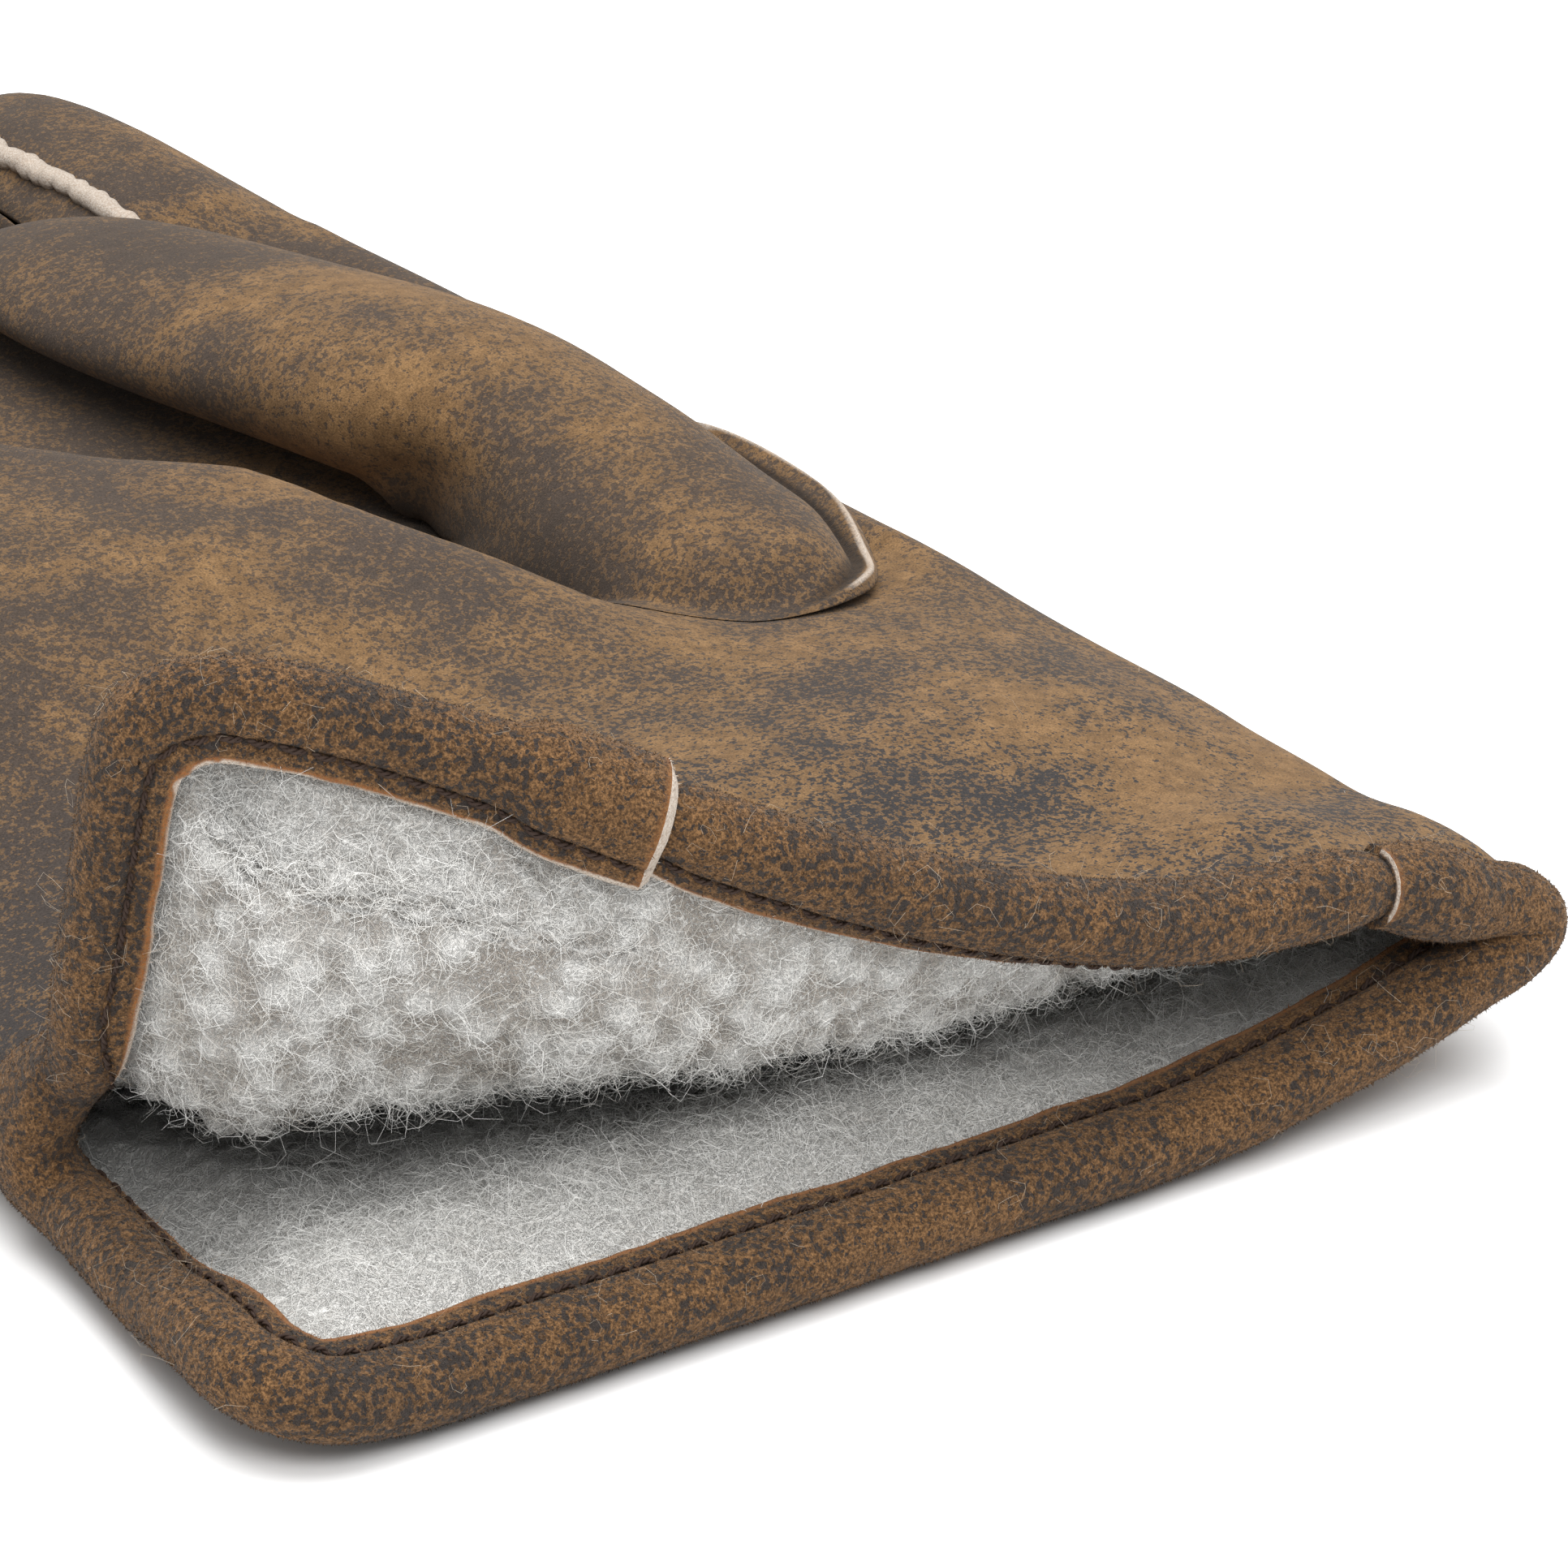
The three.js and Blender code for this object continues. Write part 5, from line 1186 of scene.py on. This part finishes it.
class Tree:
    """A geometry node tree under construction, with named inputs."""

    def __init__(self, name, **inputs):
        self.tree = bpy.data.node_groups.new(name, "GeometryNodeTree")
        face = self.tree.interface
        face.new_socket("Geometry", in_out="OUTPUT", socket_type="NodeSocketGeometry")
        face.new_socket("Geometry", in_out="INPUT", socket_type="NodeSocketGeometry")
        self.ids = {}
        for key, value in inputs.items():
            kind = {int: "NodeSocketInt", float: "NodeSocketFloat"}.get(type(value), "NodeSocketMaterial")
            socket = face.new_socket(key, in_out="INPUT", socket_type=kind)
            socket.default_value = value
            self.ids[key] = socket.identifier
        self.start = self.tree.nodes.new("NodeGroupInput")
        self.end = self.tree.nodes.new("NodeGroupOutput")

    def __getitem__(self, key):
        return self.start.outputs[key]

    def add(self, kind, values=(), **settings):
        """Adds a node; values maps an input's name or number to a number or a socket."""
        node = self.tree.nodes.new(kind)
        for key, value in settings.items():
            setattr(node, key, value)
        for key, value in dict(values).items():
            if isinstance(value, bpy.types.NodeSocket):
                self.tree.links.new(value, node.inputs[key])
            else:
                node.inputs[key].default_value = value
        return node

    def math(self, operation, a, b=0.0):
        return self.add("ShaderNodeMath", {0: a, 1: b}, operation=operation).outputs[0]

    def random(self, low, high, seed, kind="FLOAT"):
        """A random number for each point; the node keeps one set of sockets for each kind."""
        least, most, out = {"FLOAT": (2, 3, 1), "INT": (4, 5, 2)}[kind]
        node = self.add("FunctionNodeRandomValue", {least: low, most: high, 8: seed}, data_type=kind)
        return node.outputs[out]

    def painted(self, key, kind="FLOAT"):
        """What is painted on the mesh's points under the name key."""
        node = self.add("GeometryNodeInputNamedAttribute", {"Name": key}, data_type=kind)
        return node.outputs["Attribute"]

    def millimetres(self, key):
        return self.math("MULTIPLY", self[key], MM)

    def scatter(self, key):
        """Density points on each square millimetre, times what is painted as key."""
        per_metre = self.math("MULTIPLY", self["Density"], PER_SQUARE_METRE)
        density = self.math("MULTIPLY", per_metre, self.painted(key))
        return self.add("GeometryNodeDistributePointsOnFaces", {
            "Mesh": self["Geometry"], "Density": density, "Seed": self["Seed"]})

    def leaning(self, points, lean, seed):
        """The scattered points' rotation, turned at random and leaning up to `lean` radians."""
        back_lean = self.math("MULTIPLY", lean, -1.0)
        tilt = self.add("ShaderNodeCombineXYZ", {
            0: self.random(back_lean, lean, seed), 1: self.random(back_lean, lean, seed + 1),
            2: self.random(0.0, FULL_TURN, seed + 2)}).outputs[0]
        return self.add("FunctionNodeRotateRotation", {
            0: points.outputs["Rotation"], 1: self.add("FunctionNodeEulerToRotation", {0: tilt}).outputs[0]},
            rotation_space="LOCAL").outputs[0]

    def finish(self, geometry):
        """Sets the material and ends the tree."""
        dressed = self.add("GeometryNodeSetMaterial", {"Geometry": geometry, "Material": self["Material"]})
        self.tree.links.new(dressed.outputs[0], self.end.inputs[0])
        return self

    def apply(self, obj, name, **changes):
        """Runs the tree on a copy of the object's mesh and returns the result as a mesh."""
        source = link(name + "_source", obj.data.copy())
        modifier = source.modifiers.new(name, "NODES")
        modifier.node_group = self.tree
        for key, value in changes.items():
            modifier[self.ids[key]] = value
        mesh = evaluated(source, name)
        bpy.data.objects.remove(source)
        return mesh


print("tree helper ready")


# %% The curls' tree
SPIRALS = ((0.8, 1.25, 0.5), (1.1, 0.7, 0.8), (0.55, 1.6, 0.9))
CURL_SCALES, CURL_LIFTS = (0.55, 1.35), (-0.35, 0.25)
NOISE_SCALE, THIN_TIP = 650.0, 0.35


def curl_tree():
    t = Tree("wool_curls", Density=1.5, Radius=1.0, Thickness=0.024, Tilt=0.9, Lift=0.0,
             Wave=0.5, Turns=0.9, Seed=1, Material=WOOL_STRAND)
    scatter = t.scatter("pile")
    radius = t.millimetres("Radius")
    spirals = []
    for turns, end, height in SPIRALS:
        spiral = t.add("GeometryNodeCurveSpiral", {
            "Resolution": 7, "Rotations": t.math("MULTIPLY", t["Turns"], turns),
            "Start Radius": radius, "End Radius": t.math("MULTIPLY", radius, end),
            "Height": t.math("MULTIPLY", radius, height)})
        spirals.append(t.add("GeometryNodeGeometryToInstance", {0: spiral.outputs[0]}).outputs[0])
    together = t.add("GeometryNodeJoinGeometry")
    for spiral in spirals:
        t.tree.links.new(spiral, together.inputs[0])
    placed = t.add("GeometryNodeInstanceOnPoints", {
        "Points": scatter.outputs["Points"], "Instance": together.outputs[0], "Pick Instance": True,
        "Instance Index": t.random(0, len(SPIRALS) - 1, 14, "INT"),
        "Rotation": t.leaning(scatter, t["Tilt"], 11), "Scale": t.random(*CURL_SCALES, 15)})
    lift = t.math("ADD", t["Lift"], t.random(*CURL_LIFTS, 16))
    shift = t.add("ShaderNodeCombineXYZ", {
        0: t.math("MULTIPLY", radius, -0.7), 2: t.math("MULTIPLY", lift, MM)}).outputs[0]
    moved = t.add("GeometryNodeTranslateInstances", {
        "Instances": placed.outputs[0], "Translation": shift, "Local Space": True})
    real = t.add("GeometryNodeRealizeInstances", {0: moved.outputs[0]})
    wave = t.add("ShaderNodeTexNoise", {"Scale": NOISE_SCALE, "Detail": 1.0})
    centred = t.add("ShaderNodeVectorMath", {0: wave.outputs["Color"], 1: (0.5, 0.5, 0.5)},
                    operation="SUBTRACT")
    offset = t.add("ShaderNodeVectorMath", {
        0: centred.outputs[0], "Scale": t.math("MULTIPLY", t["Wave"], 2 * MM)}, operation="SCALE")
    bent = t.add("GeometryNodeSetPosition", {"Geometry": real.outputs[0], "Offset": offset.outputs[0]})
    along = t.add("GeometryNodeSplineParameter").outputs["Factor"]
    taper = t.add("ShaderNodeMapRange", {0: along, 1: 0.0, 2: 1.0, 3: 1.0, 4: THIN_TIP}).outputs[0]
    ring = t.add("GeometryNodeCurvePrimitiveCircle", {
        "Resolution": 3, "Radius": t.millimetres("Thickness")})
    tube = t.add("GeometryNodeCurveToMesh", {
        "Curve": bent.outputs[0], "Profile Curve": ring.outputs[0], "Scale": taper, "Fill Caps": True})
    smoothed = t.add("GeometryNodeSetShadeSmooth", {0: tube.outputs[0]})
    return t.finish(smoothed.outputs[0])


CURLS = {
    "radius": [1.0, 0.75, 1.3, 0.9, 0.65],
    "density": [0.82, 0.82, 0.70, 0.82, 0.82],
}


def triangles(mesh):
    return sum(len(p.vertices) - 2 for p in mesh.polygons)


curls = curl_tree()
for i, (radius, density) in enumerate(zip(CURLS["radius"], CURLS["density"])):
    name = f"wool_curls_{i + 1}"
    mesh = curls.apply(pile, name, Radius=radius, Density=density, Seed=i + 3)
    ride(link(name, mesh, WOOL_STRAND), "wool")
    print(name, "triangles:", triangles(mesh))

# %% [markdown]
# ## Nap and stray fibres
# Suede is a nap of very short fibres. Thousands of tiny open cones stand for it on the
# binding, each leaning its own way, in the binding's own finish so that they keep its specks.
# A few long pale fibres that have worked out of the wool lie over the leather.

# %% Nap
HAIR_SCALES = (0.5, 1.3)


def nap_tree():
    t = Tree("nap", Density=7.5, Length=0.27, Width=0.042, Lean=1.0, Seed=1, Material=BINDING)
    scatter = t.scatter("nap")
    hair = t.add("GeometryNodeMeshCone", {
        "Vertices": 3, "Radius Bottom": t.millimetres("Width"), "Depth": t.millimetres("Length")},
        fill_type="NONE")
    placed = t.add("GeometryNodeInstanceOnPoints", {
        "Points": scatter.outputs["Points"], "Instance": hair.outputs[0],
        "Rotation": t.leaning(scatter, t["Lean"], 21), "Scale": t.random(*HAIR_SCALES, 24)})
    real = t.add("GeometryNodeRealizeInstances", {0: placed.outputs[0]})
    return t.finish(real.outputs[0])


nap = nap_tree()
for strip, seed in ((binding_long, 31), (binding_short, 32)):
    mesh = nap.apply(strip, "nap", Seed=seed)
    ride(link(strip.name + "_nap", mesh, BINDING), "binding")
    print("nap cones on", strip.name, len(mesh.polygons) // 3)

# %% Stray fibres
STRAY = {
    "on binding": {"Density": 0.06, "Radius": 0.95, "Thickness": 0.014,
                   "Turns": 0.9, "Wave": 0.9, "Lift": 0.2},
    "on leather": {"Density": 0.010, "Radius": 1.2, "Thickness": 0.016,
                   "Turns": 0.6, "Wave": 1.1, "Lift": 0.2},
}
OFF_FLOOR = (1.5, 5)
NEAR_CUFF = (14, 60)
for strip, seed in ((binding_long, 51), (binding_short, 52)):
    nap_values = np.zeros(len(strip.data.vertices), np.float32)
    strip.data.attributes["nap"].data.foreach_get("value", nap_values)
    off_floor = smooth(*OFF_FLOOR, coordinates(strip.data)[:, 2] / MM)
    paint(strip.data, "pile", nap_values * off_floor)
    mesh = curls.apply(strip, "stray", Seed=seed, **STRAY["on binding"])
    ride(link(strip.name + "_fluff", mesh, FLUFF), "binding")
    print("stray fibres on", strip.name, "faces:", len(mesh.polygons))
places = coordinates(hand.data) / MM
near_cuff = within(NEAR_CUFF, places[:, 1] + HAND_MIDDLE)
paint(hand.data, "pile", near_cuff * smooth(*OFF_FLOOR, places[:, 2]))
mesh = curls.apply(hand, "stray", Seed=53, **STRAY["on leather"])
ride(link("leather_fluff", mesh, FLUFF), "leather")
print("stray fibres on the leather, faces:", len(mesh.polygons))

# %% [markdown]
# ## Stitches
# One stitch is two plies of thread twisted round each other, a little arched so that its ends
# sink into the leather. The tree builds it from two spirals and sets it on every point of a
# list; each point carries the way along the seam and the way up.

# %% The stitches' tree
STITCH_SCALES = (0.9, 1.08)
PLY_APART, SINKS_AS = 0.85, 2.5


def stitch_tree():
    t = Tree("stitches", Length=1.7, Ply=0.145, Twists=1.5, Arch=0.42, Material=THREAD)
    length, ply = t.millimetres("Length"), t.millimetres("Ply")
    twist = t.math("MULTIPLY", ply, PLY_APART)
    profile = t.add("GeometryNodeCurvePrimitiveCircle", {"Resolution": 4, "Radius": ply})
    down = t.add("ShaderNodeCombineXYZ", {2: t.math("MULTIPLY", length, -0.5)}).outputs[0]
    thread = t.add("GeometryNodeJoinGeometry")
    for turn in (0, math.pi):
        spiral = t.add("GeometryNodeCurveSpiral", {
            "Resolution": 7, "Rotations": t["Twists"], "Start Radius": twist, "End Radius": twist,
            "Height": length})
        moved = t.add("GeometryNodeTransform", {
            "Geometry": spiral.outputs[0], "Translation": down, "Rotation": (0, 0, turn)})
        t.tree.links.new(moved.outputs[0], thread.inputs[0])
    place = t.add("ShaderNodeSeparateXYZ", {0: t.add("GeometryNodeInputPosition").outputs[0]})
    share = t.math("DIVIDE", place.outputs[2], t.math("MULTIPLY", length, 0.5))
    sunk_share = t.math("POWER", t.math("ABSOLUTE", share), SINKS_AS)
    sink = t.math("MULTIPLY", sunk_share, t.math("MULTIPLY", t["Arch"], -MM))
    arched = t.add("GeometryNodeSetPosition", {
        "Geometry": thread.outputs[0], "Offset": t.add("ShaderNodeCombineXYZ", {0: sink}).outputs[0]})
    tube = t.add("GeometryNodeCurveToMesh", {
        "Curve": arched.outputs[0], "Profile Curve": profile.outputs[0], "Fill Caps": True})
    turned = t.add("FunctionNodeAxesToRotation", {
        0: t.painted("along", "FLOAT_VECTOR"), 1: t.painted("up", "FLOAT_VECTOR")},
        primary_axis="Z", secondary_axis="X")
    placed = t.add("GeometryNodeInstanceOnPoints", {
        "Points": t["Geometry"], "Instance": tube.outputs[0], "Rotation": turned.outputs[0],
        "Scale": t.random(*STITCH_SCALES, 61)})
    real = t.add("GeometryNodeRealizeInstances", {0: placed.outputs[0]})
    smoothed = t.add("GeometryNodeSetShadeSmooth", {0: real.outputs[0]})
    return t.finish(smoothed.outputs[0])


# %% The seams
PITCH = 2.3
SEAM_MARGIN, HALF_STEP = 0.8, 0.6
BINDING_SEAM_UP, CUFF_SEAM_UP = 0.44, 0.2
CUFF_SEAM = {"behind": 0.55, "ply": 0.12, "dark": 0.5, "reach": (0.2, 1.4)}


def stops_along(line, ups, above):
    """Evenly spaced places on a line, each with the way along it and the way up."""
    run = run_along(line)

    def at(values, stops):
        return np.stack([np.interp(stops, run, values[:, k]) for k in range(3)], 1)

    stops = np.arange(SEAM_MARGIN, run[-1] - SEAM_MARGIN, PITCH)
    along = unit(at(line, stops + HALF_STEP) - at(line, stops - HALF_STEP))
    up_way = unit(at(ups, stops))
    return at(line, stops) + up_way * above, along, up_way


def sew(name, slot, seams, **sizes):
    """Sets a stitch on each stop of the seams, all as one piece."""
    places, along, ways_up = (np.concatenate(parts) for parts in zip(*seams))
    mesh = bpy.data.meshes.new(name + "_places")
    mesh.from_pydata(to_frame(places).tolist(), [], [])
    for key, values in (("along", along), ("up", ways_up)):
        layer = mesh.attributes.new(key, "FLOAT_VECTOR", "POINT")
        layer.data.foreach_set("vector", values.astype(np.float32).ravel())
    places_obj = link(name + "_places", mesh)
    sewn = stitching.apply(places_obj, name, **sizes)
    bpy.data.objects.remove(places_obj)
    ride(link(name, sewn, THREAD), slot)
    print(name, len(places), "stitches,", triangles(sewn), "triangles")


stitching = stitch_tree()
sew("binding_stitches", "binding",
    [stops_along(*seam, above=BINDING_SEAM_UP) for seam in (long_seam, short_seam)])

beside_c, beside_y = rim_line(hem_stations(RING - SLOT - CORNER, SLOT + CORNER), 0.0)
beside_y = beside_y + CUFF_SEAM["behind"] + OUTSIDE[0][0] * outside_width(beside_c)
outside_line, outside_up = skin(beside_c, beside_y), skin_normal(beside_c, beside_y)
sew("cuff_seam", "leather", [stops_along(outside_line, outside_up, above=CUFF_SEAM_UP)],
    Ply=CUFF_SEAM["ply"])
# Painted shade on the leather along the cuff's seam, where the binding's outer leg shades it.
from_seam = nearest(outside_line, coordinates(hand.data))[1]
seam_painted_shade = CUFF_SEAM["dark"] * within(CUFF_SEAM["reach"], from_seam)
paint(hand.data, "painted_shade", np.maximum(palm_shadow_under_thumb, seam_painted_shade))

# %% [markdown]
# ## Finish
# How far the dressed glove grew beyond the CAD box is printed, in millimetres.

# %% Finish
low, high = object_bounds()
growth = [round((a - b) / MM, 2) for a, b in zip((*low, *high), (*cad_low, *cad_high))]
print("grew by", growth, "mm")
